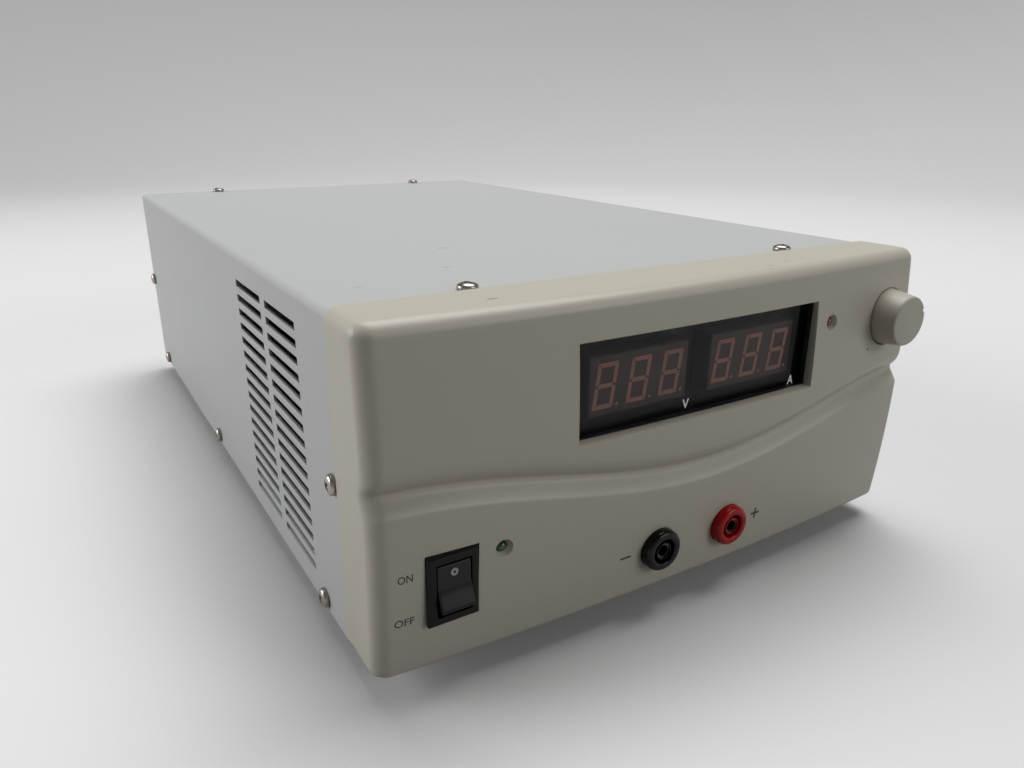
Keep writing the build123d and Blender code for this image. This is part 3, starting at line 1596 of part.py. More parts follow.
# Each piece gets its name and its file
pieces = {
    "front_bezel": front_bezel.part,
    "display_surround": display_surround.part,
    "display_window": display_window.part,
    "volts_module": volts_module,
    "amps_module": amps_module,
    "display_board": display_board.part,
    "display_board_screws": display_board_screws,
    "bezel_screws": bezel_screws,
    "power_led": power_led,
    "overload_led": overload_led,
    "switch_housing": switch_housing.part,
    "power_rocker": power_rocker,
    "switch_terminals": switch_terminals.part,
    "voltage_knob": voltage_knob.part,
    "pot_shaft": pot_shaft.part,
    "pot_body": pot_body.part,
    "pot_nut": pot_nut,
    "aux_socket_negative": aux_socket_negative,
    "aux_socket_positive": aux_socket_positive,
    "socket_sleeves": socket_sleeves,
    "socket_nuts": socket_nuts,
    "top_cover": top_cover.part,
    "cover_top_screws": cover_top_screws,
    "cover_side_screws": cover_side_screws,
    "chassis": chassis.part,
    "rubber_feet": rubber_feet,
    "feet_screws": feet_screws,
    "feet_nuts": feet_nuts,
    "main_board": main_board.part,
    "board_standoffs": board_standoffs.part,
    "board_screws": board_screws,
    "primary_heat_sink": primary_heat_sink,
    "output_heat_sink": output_heat_sink,
    "power_transistors": power_transistors,
    "output_rectifiers": output_rectifiers,
    "transformer_core": transformer_core.part,
    "transformer_winding": transformer_winding.part,
    "output_choke_core": output_choke_core,
    "output_choke_winding": output_choke_winding,
    "line_choke_core": line_choke_core,
    "line_choke_windings": line_choke_windings,
    "bulk_capacitors": bulk_capacitors,
    "output_capacitors": output_capacitors,
    "bridge_rectifier": bridge_rectifier.part,
    "fan_frame": fan_frame.part,
    "fan_rotor": fan_rotor.part,
    "fan_guard": fan_guard.part,
    "fan_screws": fan_screws,
    "mains_inlet": mains_inlet.part,
    "inlet_pins": inlet_pins.part,
    "fuse_drawer": fuse_drawer.part,
    "post_base_positive": post_base_positive,
    "post_base_negative": post_base_negative,
    "post_cap_positive": post_cap_positive,
    "post_cap_negative": post_cap_negative,
    "post_studs": post_studs,
    "post_washers": post_washers.part,
    "post_nuts": post_nuts,
    "output_busbars": output_busbars,
}

os.makedirs("parts", exist_ok=True)
for name, piece in pieces.items():
    if isinstance(piece, list):
        piece = Compound(children=piece)
    piece.label = name
    export_step(piece, "parts/" + name + ".step")
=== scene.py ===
"""Bench power supply: its looks, studio and camera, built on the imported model.

Lengths are written in millimetres in the model's frame and turned into metres where Blender takes them.
"""

import json
import logging
import math
from collections.abc import Callable, Iterable, Sequence
from dataclasses import dataclass, field
from enum import Enum

import bmesh
import bpy
from mathutils import Euler, Matrix, Vector

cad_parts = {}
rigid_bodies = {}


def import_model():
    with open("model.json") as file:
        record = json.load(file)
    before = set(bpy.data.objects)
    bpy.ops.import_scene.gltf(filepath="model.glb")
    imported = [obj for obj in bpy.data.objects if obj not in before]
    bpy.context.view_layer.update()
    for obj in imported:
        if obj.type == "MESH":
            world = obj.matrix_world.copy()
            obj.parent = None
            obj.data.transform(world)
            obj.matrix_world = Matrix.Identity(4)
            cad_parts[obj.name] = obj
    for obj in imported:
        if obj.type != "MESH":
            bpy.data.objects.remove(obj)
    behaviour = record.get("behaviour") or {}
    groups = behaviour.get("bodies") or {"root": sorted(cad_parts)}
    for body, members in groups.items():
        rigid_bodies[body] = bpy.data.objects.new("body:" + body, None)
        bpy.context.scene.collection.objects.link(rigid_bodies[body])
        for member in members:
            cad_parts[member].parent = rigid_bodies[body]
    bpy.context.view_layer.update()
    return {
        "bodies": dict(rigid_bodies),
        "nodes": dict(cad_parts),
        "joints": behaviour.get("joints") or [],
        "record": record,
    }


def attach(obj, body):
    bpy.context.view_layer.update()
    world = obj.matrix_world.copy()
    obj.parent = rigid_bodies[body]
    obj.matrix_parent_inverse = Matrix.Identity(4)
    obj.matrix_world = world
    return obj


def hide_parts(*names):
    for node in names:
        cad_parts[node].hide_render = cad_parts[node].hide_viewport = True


LOG = logging.getLogger("bench_supply")
MM = 0.001
Triple = tuple[float, float, float]
Piece = bpy.types.Object
Material = bpy.types.Material
Tree = bpy.types.NodeTree
Socket = bpy.types.NodeSocket


class Direction(Enum):
    """Which way a turned piece faces, as the turn that takes its own Z there."""

    FRONT = (math.pi / 2, 0.0, 0.0)
    UP = (0.0, 0.0, 0.0)
    LEFT = (0.0, -math.pi / 2, 0.0)
    RIGHT = (0.0, math.pi / 2, 0.0)


# Bench tools: what every piece is modelled with


def deselect_all() -> None:
    """Leave edit mode and deselect every object."""
    if bpy.context.mode != "OBJECT":
        bpy.ops.object.mode_set(mode="OBJECT")
    bpy.ops.object.select_all(action="DESELECT")


def take(piece: Piece) -> None:
    """Make one piece the only selected and the active object.

    Args:
        piece: the piece to work on.
    """
    deselect_all()
    piece.select_set(True)
    bpy.context.view_layer.objects.active = piece


def settle(piece: Piece) -> None:
    """Move a piece's place, turn and size into its mesh."""
    take(piece)
    bpy.ops.object.transform_apply(location=True, rotation=True, scale=True)


def added(name: str) -> Piece:
    """Name the primitive that was just added and settle it.

    Args:
        name: the piece's name.

    Returns:
        The new object, with its place in its mesh.
    """
    piece = bpy.context.active_object
    piece.name = name
    piece.data.name = name
    settle(piece)
    return piece


def block(name: str, centre: Triple, size: Triple) -> Piece:
    """Start a piece from a block.

    Args:
        name: the piece's name.
        centre: its middle, in millimetres.
        size: its lengths along X, Y and Z, in millimetres.

    Returns:
        The new object, with its place in its mesh.
    """
    deselect_all()
    bpy.ops.mesh.primitive_cube_add(size=1, location=Vector(centre) * MM, scale=Vector(size) * MM)
    return added(name)


def select_parts(piece: Piece, kind: str, passes: Callable[[object], bool]) -> None:
    """Enter edit mode and select some of a piece's edges or faces.

    Args:
        piece: the piece to work on.
        kind: "EDGE" or "FACE".
        passes: says of each edge or face whether it is selected.
    """
    take(piece)
    bpy.ops.object.mode_set(mode="EDIT")
    bpy.ops.mesh.select_mode(type=kind)
    bpy.ops.mesh.select_all(action="DESELECT")
    mesh = bmesh.from_edit_mesh(piece.data)
    for part in mesh.edges if kind == "EDGE" else mesh.faces:
        if passes(part):
            part.select_set(True)
    bmesh.update_edit_mesh(piece.data)


def edges_where(piece: Piece, test: Callable[[Vector, Vector], bool]) -> None:
    """Select the edges whose two ends, in millimetres, pass a test, and stay in edit mode."""
    select_parts(piece, "EDGE", lambda edge: test(edge.verts[0].co / MM, edge.verts[1].co / MM))


def faces_where(piece: Piece, test: Callable[[Vector, Vector], bool]) -> None:
    """Select the faces whose middle, in millimetres, and normal pass a test, and stay in edit mode."""
    select_parts(piece, "FACE", lambda face: test(face.calc_center_median() / MM, face.normal))


def round_edges(radius: float, segments: int) -> None:
    """Bevel the selected edges, in edit mode, by a radius in millimetres."""
    bpy.ops.mesh.bevel(offset=radius * MM, segments=segments, profile=0.5, affect="EDGES", clamp_overlap=False)
    bpy.ops.object.mode_set(mode="OBJECT")


def slice_at(piece: Piece, axis: int, places: Iterable[float]) -> None:
    """Cut rows into a piece with planes square to one axis.

    Args:
        piece: the piece to work on.
        axis: 0, 1 or 2 for X, Y or Z.
        places: where the planes lie along it, in millimetres.
    """
    take(piece)
    bpy.ops.object.mode_set(mode="EDIT")
    normal = [0.0, 0.0, 0.0]
    normal[axis] = 1.0
    for place in places:
        spot = [0.0, 0.0, 0.0]
        spot[axis] = place * MM
        bpy.ops.mesh.select_all(action="SELECT")
        bpy.ops.mesh.bisect(plane_co=spot, plane_no=normal)
    bpy.ops.object.mode_set(mode="OBJECT")


def shape(piece: Piece, move: Callable[[Vector], Vector]) -> None:
    """Move every point of a piece by a rule that works in millimetres.

    Args:
        piece: the piece to work on.
        move: gives each point its new place.
    """
    for vertex in piece.data.vertices:
        vertex.co = move(vertex.co / MM) * MM
    piece.data.update()


def tidy(piece: Piece) -> None:
    """Merge doubled points and turn all faces outwards.

    Args:
        piece: the piece to work on.
    """
    take(piece)
    bpy.ops.object.mode_set(mode="EDIT")
    bpy.ops.mesh.select_all(action="SELECT")
    bpy.ops.mesh.remove_doubles(threshold=0.002 * MM)
    bpy.ops.mesh.normals_make_consistent(inside=False)
    bpy.ops.object.mode_set(mode="OBJECT")


def turned(
    name: str, outline: Sequence[tuple[float, float]], centre: Triple, facing: Direction, sides: int = 64
) -> Piece:
    """Turn a closed round piece, as on a lathe.

    The outline starts and ends with a flat disc; its edge is extruded and scaled from step to step.

    Args:
        name: the piece's name.
        outline: radius and height of each step, in millimetres.
        centre: where height 0 lies, in millimetres.
        facing: which way the heights run.
        sides: how many sides the circles have.

    Returns:
        The turned piece.
    """
    deselect_all()
    radius, height = outline[0]
    bpy.ops.mesh.primitive_circle_add(
        vertices=sides, radius=radius * MM, fill_type="NGON", location=(0, 0, height * MM)
    )
    piece = added(name)
    bpy.ops.object.mode_set(mode="EDIT")
    bpy.ops.mesh.select_mode(type="EDGE")
    bpy.ops.mesh.select_all(action="SELECT")
    for step_radius, step_height in outline[1:]:
        bpy.ops.mesh.extrude_edges_move(
            TRANSFORM_OT_translate={"value": (0, 0, (step_height - height) * MM)}
        )
        ratio = step_radius / radius
        bpy.ops.transform.resize(value=(ratio, ratio, 1), center_override=(0, 0, step_height * MM))
        radius, height = step_radius, step_height
    bpy.ops.mesh.edge_face_add()
    bpy.ops.object.mode_set(mode="OBJECT")
    piece.matrix_world = Matrix.Translation(Vector(centre) * MM) @ Euler(facing.value).to_matrix().to_4x4()
    settle(piece)
    tidy(piece)
    return piece


def arc(centre: tuple[float, float], radius: float, start: float, end: float, steps: int) -> list[tuple[float, float]]:
    """Points of an arc for an outline, with its angles in degrees."""
    angles = [math.radians(start + (end - start) * step / steps) for step in range(steps + 1)]
    return [(centre[0] + radius * math.cos(a), centre[1] + radius * math.sin(a)) for a in angles]


def apply_modifier(piece: Piece, kind: str, **settings: object) -> None:
    """Add one modifier to a piece, set its values and apply it.

    Args:
        piece: the piece to work on.
        kind: the modifier's type.
        settings: its values by name.
    """
    take(piece)
    bpy.ops.object.modifier_add(type=kind)
    modifier = piece.modifiers[-1]
    for label, value in settings.items():
        setattr(modifier, label, value)
    bpy.ops.object.modifier_apply(modifier=modifier.name)


def combine(piece: Piece, tool: Piece, operation: str = "DIFFERENCE") -> None:
    """Cut a piece with a tool, or join the two, and throw the tool away."""
    apply_modifier(piece, "BOOLEAN", operation=operation, solver="EXACT", object=tool)
    bpy.data.objects.remove(tool)


def soften(piece: Piece, width: float, segments: int = 2, angle: float = 40.0) -> None:
    """Round a piece's sharp edges by a small bevel, in millimetres.

    Args:
        piece: the piece to work on.
        width: the bevel's width.
        segments: the steps of its rounding.
        angle: how sharp an edge must be, in degrees.
    """
    apply_modifier(
        piece,
        "BEVEL",
        width=width * MM,
        segments=segments,
        limit_method="ANGLE",
        angle_limit=math.radians(angle),
        miter_outer="MITER_ARC",
    )


def smooth(piece: Piece, angle: float = 35.0) -> None:
    """Shade a piece smooth, but for edges sharper than an angle."""
    take(piece)
    bpy.ops.object.shade_smooth_by_angle(angle=math.radians(angle))


def even_normals(piece: Piece) -> None:
    """Let the large flat faces rule the shading next to their rounded edges."""
    apply_modifier(piece, "WEIGHTED_NORMAL", weight=80, keep_sharp=True)


def copies(piece: Piece, places: Iterable[Matrix], name: str) -> Piece:
    """Copy a piece to several places and join the copies into one.

    Args:
        piece: the pattern, which is thrown away.
        places: where each copy goes, as a matrix in metres.
        name: the joined piece's name.

    Returns:
        The joined piece.
    """
    made = []
    for place in places:
        copy = bpy.data.objects.new(name, piece.data.copy())
        bpy.context.scene.collection.objects.link(copy)
        copy.data.transform(place)
        made.append(copy)
    bpy.data.objects.remove(piece)
    return joined(made, name)


def joined(pieces: list[Piece], name: str) -> Piece:
    """Join several pieces into one and name it.

    Args:
        pieces: what is joined.
        name: the new name.

    Returns:
        The joined piece.
    """
    deselect_all()
    for piece in pieces:
        piece.select_set(True)
    bpy.context.view_layer.objects.active = pieces[0]
    if len(pieces) > 1:
        bpy.ops.object.join()
    result = bpy.context.active_object
    result.name = name
    result.data.name = name
    return result


def hand_over(
    piece: Piece, body: str, slot: str, finish: Material, *nodes: str
) -> Piece:
    """Dress a finished piece, let it ride on its body and take the place of CAD nodes.

    Args:
        piece: the finished piece.
        body: the CAD body that it moves with.
        slot: the record's material slot; not used.
        finish: its material.
        nodes: the CAD nodes that it stands for.

    Returns:
        The same piece.
    """
    piece.data.materials.clear()
    piece.data.materials.append(finish)
    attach(piece, body)
    if nodes:
        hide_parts(*nodes)
    LOG.info("%s: %d faces on %s", piece.name, len(piece.data.polygons), body)
    return piece


# Finishes: node groups for the effects that several materials share, and the materials themselves


def linear(red: int, green: int, blue: int) -> tuple[float, float, float, float]:
    """A colour written as screen values from 0 to 255, as linear light.

    Args:
        red: red on the screen.
        green: green on the screen.
        blue: blue on the screen.

    Returns:
        The three channels as linear light, and an opacity of 1.
    """

    def channel(value: int) -> float:
        """One channel as linear light."""
        share = value / 255
        return share / 12.92 if share <= 0.04045 else ((share + 0.055) / 1.055) ** 2.4

    return channel(red), channel(green), channel(blue), 1.0


def new_group(
    name: str, inputs: dict[str, tuple[str, object]], output: tuple[str, str]
) -> tuple[Tree, bpy.types.Node, Socket]:
    """Make an empty shader node group.

    Args:
        name: the group's name.
        inputs: socket type, without its prefix, and default value of each input but the vector.
        output: name and socket type of what it puts out.

    Returns:
        The group, its input node and the socket of its output.
    """
    tree = bpy.data.node_groups.new(name, "ShaderNodeTree")
    tree.interface.new_socket(name="Vector", in_out="INPUT", socket_type="NodeSocketVector")
    for label, (kind, value) in inputs.items():
        socket = tree.interface.new_socket(name=label, in_out="INPUT", socket_type="NodeSocket" + kind)
        socket.default_value = value
    tree.interface.new_socket(name=output[0], in_out="OUTPUT", socket_type="NodeSocket" + output[1])
    source = tree.nodes.new("NodeGroupInput")
    sink = tree.nodes.new("NodeGroupOutput")
    return tree, source, sink.inputs[0]


def new_node(
    tree: Tree, kind: str, inputs: dict[str | int, object], **settings: object
) -> bpy.types.Node:
    """Add a node, set what it does and feed its inputs.

    Args:
        tree: the node tree.
        kind: the node's type, without its prefix.
        inputs: the socket or the plain value for each input, by name or number.
        settings: the node's own properties.

    Returns:
        The new node.
    """
    node = tree.nodes.new("ShaderNode" + kind)
    for label, value in settings.items():
        setattr(node, label, value)
    for place, value in inputs.items():
        if isinstance(value, Socket):
            tree.links.new(value, node.inputs[place])
        else:
            node.inputs[place].default_value = value
    return node


def math_node(tree: Tree, operation: str, first: object, second: object) -> Socket:
    """Add a maths node fed by sockets or plain numbers and give back its result."""
    return new_node(tree, "Math", {0: first, 1: second}, operation=operation).outputs[0]


def noise_node(
    tree: Tree, vector: Socket, scale: object, detail: float
) -> Socket:
    """Add a noise texture on a vector and give back its value."""
    return new_node(tree, "TexNoise", {"Vector": vector, "Scale": scale, "Detail": detail}).outputs["Fac"]


def mix_node(tree: Tree, factor: object, first: object, second: object) -> Socket:
    """Add a mix of two colours and give back its result."""
    inputs = {"Factor": factor, "A": first, "B": second}
    return new_node(tree, "Mix", inputs, data_type="RGBA").outputs["Result"]


class Effects:
    """The node groups that several finishes share, each built once."""

    def __init__(self) -> None:
        """Build the groups."""
        self.mottle = self.build_mottle()
        self.grain = self.build_grain()
        self.handling = self.build_handling()
        self.scuff = self.build_scuff()

    def build_mottle(self) -> Tree:
        """Slow changes of colour over a surface, as moulding and age leave them.

        Returns:
            The group.
        """
        inputs = {
            "Colour": ("Color", (0.5, 0.5, 0.5, 1)),
            "Shade": ("Color", (0.4, 0.4, 0.4, 1)),
            "Scale": ("Float", 20.0),
            "Amount": ("Float", 0.3),
        }
        tree, source, result = new_group("Mottle", inputs, ("Colour", "Color"))
        value = noise_node(tree, source.outputs["Vector"], source.outputs["Scale"], 4.0)
        amount = math_node(tree, "MULTIPLY", value, source.outputs["Amount"])
        tree.links.new(mix_node(tree, amount, source.outputs["Colour"], source.outputs["Shade"]), result)
        return tree

    def build_grain(self) -> Tree:
        """A fine texture as a height: spark-eroded mould grain, or the peel of a sprayed coat.

        Returns:
            The group.
        """
        inputs = {"Scale": ("Float", 1500.0), "Coarse": ("Float", 0.4)}
        tree, source, result = new_group("Fine Grain", inputs, ("Height", "Float"))
        fine = noise_node(tree, source.outputs["Vector"], source.outputs["Scale"], 3.0)
        wide = math_node(tree, "MULTIPLY", source.outputs["Scale"], 0.22)
        broad = noise_node(tree, source.outputs["Vector"], wide, 1.0)
        share = math_node(tree, "MULTIPLY", broad, source.outputs["Coarse"])
        tree.links.new(math_node(tree, "ADD", fine, share), result)
        return tree

    def build_handling(self) -> Tree:
        """Roughness that wanders between two values, where hands and cloths have been.

        Returns:
            The group.
        """
        inputs = {"Scale": ("Float", 30.0), "Low": ("Float", 0.35), "High": ("Float", 0.5)}
        tree, source, result = new_group("Handling", inputs, ("Roughness", "Float"))
        value = noise_node(tree, source.outputs["Vector"], source.outputs["Scale"], 5.0)
        span = math_node(tree, "SUBTRACT", source.outputs["High"], source.outputs["Low"])
        rise = math_node(tree, "MULTIPLY", value, span)
        tree.links.new(math_node(tree, "ADD", rise, source.outputs["Low"]), result)
        return tree

    def build_scuff(self) -> Tree:
        """A mask for one small rubbed mark near a place.

        Returns:
            The group.
        """
        inputs = {"Centre": ("Vector", (0.0, 0.0, 0.0)), "Stretch": ("Vector", (100.0, 400.0, 400.0))}
        tree, source, result = new_group("Scuff", inputs, ("Mask", "Float"))
        ends = {0: source.outputs["Vector"], 1: source.outputs["Centre"]}
        offset = new_node(tree, "VectorMath", ends, operation="SUBTRACT").outputs[0]
        ends = {0: offset, 1: source.outputs["Stretch"]}
        scaled = new_node(tree, "VectorMath", ends, operation="MULTIPLY").outputs[0]
        length = new_node(tree, "VectorMath", {0: scaled}, operation="LENGTH").outputs["Value"]
        ragged = noise_node(tree, source.outputs["Vector"], 900.0, 3.0)
        near = math_node(tree, "SUBTRACT", 1.0, length)
        worn = math_node(tree, "ADD", near, ragged)
        edge = math_node(tree, "SUBTRACT", worn, 0.9)
        mask = math_node(tree, "MULTIPLY", edge, 6.0)
        mask.node.use_clamp = True
        tree.links.new(mask, result)
        return tree


@dataclass(frozen=True)
class Finish:
    """A surface: its colour, sheen, grain and the way it has aged.

    Colours are screen values; scales are features per metre, and depths are millimetres.
    """

    name: str
    colour: tuple[int, int, int]
    shade: tuple[int, int, int]
    rough: tuple[float, float] = (0.4, 0.5)
    metallic: float = 0.0
    mottle: float = 0.3
    mottle_scale: float = 14.0
    grain_scale: float = 1500.0
    grain_depth: float = 0.01
    coarse: float = 0.4
    coat: float = 0.0
    specular: float = 0.5
    alpha: float = 1.0
    glow: float = 0.0
    scuffs: tuple[tuple[Triple, Triple], ...] = ()
    scuff_colour: tuple[int, int, int] = (150, 143, 129)

    def material(self, effects: Effects) -> Material:
        """Build the material.

        Args:
            effects: the shared node groups.

        Returns:
            The new material.
        """
        made = bpy.data.materials.new(self.name)
        made.use_nodes = True
        tree = made.node_tree
        shader = tree.nodes["Principled BSDF"]
        vector = tree.nodes.new("ShaderNodeTexCoord").outputs["Object"]
        colour = self.colour_of(tree, vector, effects)
        tree.links.new(colour, shader.inputs["Base Color"])
        low, high = self.rough
        inputs = {"Vector": vector, "Scale": self.mottle_scale * 2.5, "Low": low, "High": high}
        handling = new_node(tree, "Group", inputs, node_tree=effects.handling)
        tree.links.new(handling.outputs["Roughness"], shader.inputs["Roughness"])
        if self.grain_depth > 0:
            inputs = {"Vector": vector, "Scale": self.grain_scale, "Coarse": self.coarse}
            height = new_node(tree, "Group", inputs, node_tree=effects.grain).outputs["Height"]
            inputs = {"Strength": 1.0, "Distance": self.grain_depth * MM, "Height": height}
            tree.links.new(new_node(tree, "Bump", inputs).outputs["Normal"], shader.inputs["Normal"])
        shader.inputs["Metallic"].default_value = self.metallic
        shader.inputs["Coat Weight"].default_value = self.coat
        shader.inputs["Coat Roughness"].default_value = 0.08
        shader.inputs["Specular IOR Level"].default_value = self.specular
        shader.inputs["Alpha"].default_value = self.alpha
        # Glow is painted light: an emission that lifts the colour though the part is no lamp.
        if self.glow:
            tree.links.new(colour, shader.inputs["Emission Color"])
            shader.inputs["Emission Strength"].default_value = self.glow
        return made

    def colour_of(
        self, tree: Tree, vector: Socket, effects: Effects
    ) -> Socket:
        """The mottled colour with its scuffs.

        Args:
            tree: the material's node tree.
            vector: the coordinates that the pattern follows.
            effects: the shared node groups.

        Returns:
            The colour's socket.
        """
        inputs = {
            "Vector": vector,
            "Colour": linear(*self.colour),
            "Shade": linear(*self.shade),
            "Scale": self.mottle_scale,
            "Amount": self.mottle,
        }
        colour = new_node(tree, "Group", inputs, node_tree=effects.mottle).outputs["Colour"]
        for centre, reaches in self.scuffs:
            stretch = [1000 / reach for reach in reaches]
            inputs = {"Vector": vector, "Centre": Vector(centre) * MM, "Stretch": stretch}
            mask = new_node(tree, "Group", inputs, node_tree=effects.scuff).outputs["Mask"]
            colour = mix_node(tree, mask, colour, linear(*self.scuff_colour))
        return colour


FINISHES = (
    Finish(
        "bezel_plastic",
        (196, 191, 176),
        (186, 180, 164),
        rough=(0.34, 0.46),
        mottle_scale=9.0,
        grain_scale=2600.0,
        grain_depth=0.012,
        scuffs=(
            ((-68.0, -176.0, 110.0), (3.4, 1.4, 2.0)),
            ((34.0, -181.0, 109.6), (3.0, 0.8, 1.6)),
            ((45.0, -178.0, 110.0), (2.2, 0.6, 1.6)),
        ),
    ),
    Finish(
        "knob_plastic", (194, 189, 173), (184, 178, 161), rough=(0.36, 0.48), grain_scale=2600.0, grain_depth=0.008
    ),
    Finish(
        "cover_paint",
        (192, 194, 193),
        (182, 184, 180),
        rough=(0.42, 0.55),
        mottle_scale=6.0,
        grain_scale=900.0,
        grain_depth=0.018,
        coarse=0.9,
        scuff_colour=(152, 152, 149),
        scuffs=(
            ((-40.0, -92.0, 109.0), (5.0, 1.0, 2.0)),
            ((-56.0, -126.0, 109.0), (3.2, 0.8, 2.0)),
            ((-92.0, -140.0, 109.0), (2.6, 0.8, 2.0)),
        ),
    ),
    Finish(
        "black_plastic", (9, 9, 10), (13, 13, 14), rough=(0.3, 0.42), grain_scale=2400.0, grain_depth=0.006,
        specular=0.16,
    ),
    Finish(
        "rocker_black", (8, 8, 9), (11, 11, 12), rough=(0.16, 0.24), grain_scale=500.0, grain_depth=0.003, specular=0.25
    ),
    # Socket sleeves get a darker metal than the nickel: painted shade standing in for the depth of the socket bores.
    Finish(
        "sleeve_metal_painted_shade", (96, 90, 82), (70, 64, 56), rough=(0.3, 0.4), metallic=1.0, grain_depth=0.003
    ),
    Finish(
        "gloss_black", (4, 4, 5), (7, 7, 8), rough=(0.12, 0.2), grain_scale=300.0, grain_depth=0.004, specular=0.22
    ),
    Finish(
        "gloss_red", (172, 10, 16), (152, 8, 12), rough=(0.14, 0.22), grain_scale=300.0, grain_depth=0.004, specular=0.2
    ),
    Finish("display_face", (92, 72, 70), (84, 66, 64), rough=(0.45, 0.55), grain_scale=1800.0, grain_depth=0.006),
    Finish("segments", (222, 162, 142), (210, 150, 130), rough=(0.4, 0.5), grain_scale=1800.0, grain_depth=0.004),
    Finish(
        "surround_black", (17, 18, 23), (21, 22, 27), rough=(0.4, 0.5), grain_scale=2200.0, grain_depth=0.006
    ),
    Finish(
        "smoked_window", (14, 15, 20), (12, 13, 18), rough=(0.05, 0.08), grain_depth=0.0, alpha=0.22, specular=0.5
    ),
    Finish("printed_dark", (52, 54, 60), (60, 62, 68), rough=(0.5, 0.6), grain_depth=0.003),
    # Pale print with a weak emission: painted light that makes the marks glow though they are no lamp.
    Finish("printed_pale_painted_glow", (214, 216, 218), (200, 204, 208), rough=(0.5, 0.6), grain_depth=0.003, glow=0.25),
    Finish("printed_grey", (168, 170, 172), (150, 152, 154), rough=(0.5, 0.6), grain_depth=0.003),
    Finish(
        "nickel", (166, 160, 152), (138, 130, 120), rough=(0.2, 0.36), metallic=1.0, grain_scale=700.0,
        grain_depth=0.004, mottle=0.5,
    ),
    Finish(
        "zinc_steel", (182, 184, 184), (156, 160, 162), rough=(0.3, 0.46), metallic=1.0, mottle_scale=90.0,
        mottle=0.6, grain_scale=500.0, grain_depth=0.006,
    ),
    Finish(
        "green_lamp", (22, 66, 40), (14, 48, 30), rough=(0.1, 0.18), grain_depth=0.002, coat=0.4
    ),
    Finish("red_lamp", (120, 22, 24), (88, 14, 16), rough=(0.1, 0.18), grain_depth=0.002, coat=0.4),
    Finish("rubber", (30, 30, 31), (42, 42, 42), rough=(0.7, 0.85), grain_scale=1600.0, grain_depth=0.02),
    Finish(
        "aluminium", (190, 192, 194), (170, 172, 176), rough=(0.28, 0.4), metallic=1.0, grain_scale=900.0,
        grain_depth=0.006,
    ),
    Finish("ferrite", (52, 52, 54), (66, 66, 66), rough=(0.5, 0.62), grain_scale=900.0, grain_depth=0.02),
    Finish(
        "copper", (184, 108, 66), (150, 84, 50), rough=(0.22, 0.36), metallic=1.0, grain_scale=900.0, grain_depth=0.01
    ),
    Finish("winding_tape", (206, 176, 66), (190, 158, 52), rough=(0.34, 0.44), grain_scale=500.0, grain_depth=0.02),
    Finish("can_sleeve", (30, 38, 62), (24, 30, 50), rough=(0.26, 0.36), grain_scale=800.0, grain_depth=0.006),
    Finish("epoxy", (40, 40, 42), (52, 52, 54), rough=(0.45, 0.55), grain_scale=1600.0, grain_depth=0.012),
    Finish("circuit_board", (34, 84, 52), (28, 70, 44), rough=(0.3, 0.42), grain_scale=600.0, grain_depth=0.01),
    Finish(
        "brass", (196, 164, 96), (168, 136, 74), rough=(0.2, 0.34), metallic=1.0, grain_scale=800.0, grain_depth=0.005
    ),
    Finish("red_plastic", (170, 26, 30), (150, 20, 24), rough=(0.24, 0.34), grain_scale=1800.0, grain_depth=0.008),
)


# The moulded front


@dataclass(frozen=True)
class BezelShape:
    """The bowed face of the front moulding, in millimetres: the solid's, but for its deeper groove."""

    width: float = 220.0
    height: float = 101.5
    bottom: float = 8.5
    corner_y: float = -184.082
    rear_y: float = -162.882
    plan_bow: float = 3.9
    side_bow: float = 2.6
    wall: float = 3.0
    wave_middle: float = 57.4
    wave_swing: float = 7.054
    wave_centre: float = 5.0
    groove_depth: float = 3.2
    groove_above: float = 7.7
    groove_below: float = 5.2
    groove_reach: float = 9.0
    lip_radius: float = 9.09
    lip_end: float = 1.0
    bed_end: float = -1.6
    bed_curve: float = 0.25
    run_out: float = 0.6
    blending: float = 0.06

    @property
    def middle(self) -> float:
        """Height of the middle of the face."""
        return self.bottom + self.height / 2

    @property
    def top(self) -> float:
        """Height of the top."""
        return self.bottom + self.height

    def bow(self, x: float, z: float) -> float:
        """How far the face stands in front of its corners.

        Args:
            x: place across the face.
            z: height.

        Returns:
            The distance, 0 at the four corners.
        """
        side_radius = ((self.height / 2) ** 2 + self.side_bow**2) / (2 * self.side_bow)
        plan_radius = ((self.width / 2) ** 2 + self.plan_bow**2) / (2 * self.plan_bow)
        bulge = self.side_bow - side_radius + math.sqrt(side_radius**2 - (z - self.middle) ** 2)
        return math.sqrt((plan_radius + bulge) ** 2 - x**2) - (plan_radius - self.plan_bow)

    def face(self, x: float, z: float) -> float:
        """Y of the bowed face."""
        return self.corner_y - self.bow(x, z)

    def wave(self, x: float) -> float:
        """Height of the groove's bottom."""
        return self.wave_middle - self.wave_swing * math.cos(2 * math.pi * (x - self.wave_centre) / self.width)

    def groove(self, rise: float) -> float:
        """Depth of the groove at a height above its bottom line, negative where it has run out.

        Args:
            rise: height above the bottom line.

        Returns:
            The depth in millimetres.
        """
        if rise > self.groove_above:
            return (self.groove_above - rise) * self.run_out
        if rise > self.lip_end:
            return self.lip_radius - math.sqrt(self.lip_radius**2 - (rise - self.groove_above) ** 2)
        if rise > self.bed_end:
            return self.groove_depth - self.bed_curve * rise**2
        end_depth = self.groove_depth - self.bed_curve * self.bed_end**2
        return end_depth * (self.groove_below + rise) / (self.groove_below + self.bed_end)

    def larger(self, first: float, second: float) -> float:
        """The larger of two depths, with a soft passage from one to the other."""
        return 0.5 * (first + second + math.sqrt((first - second) ** 2 + self.blending))


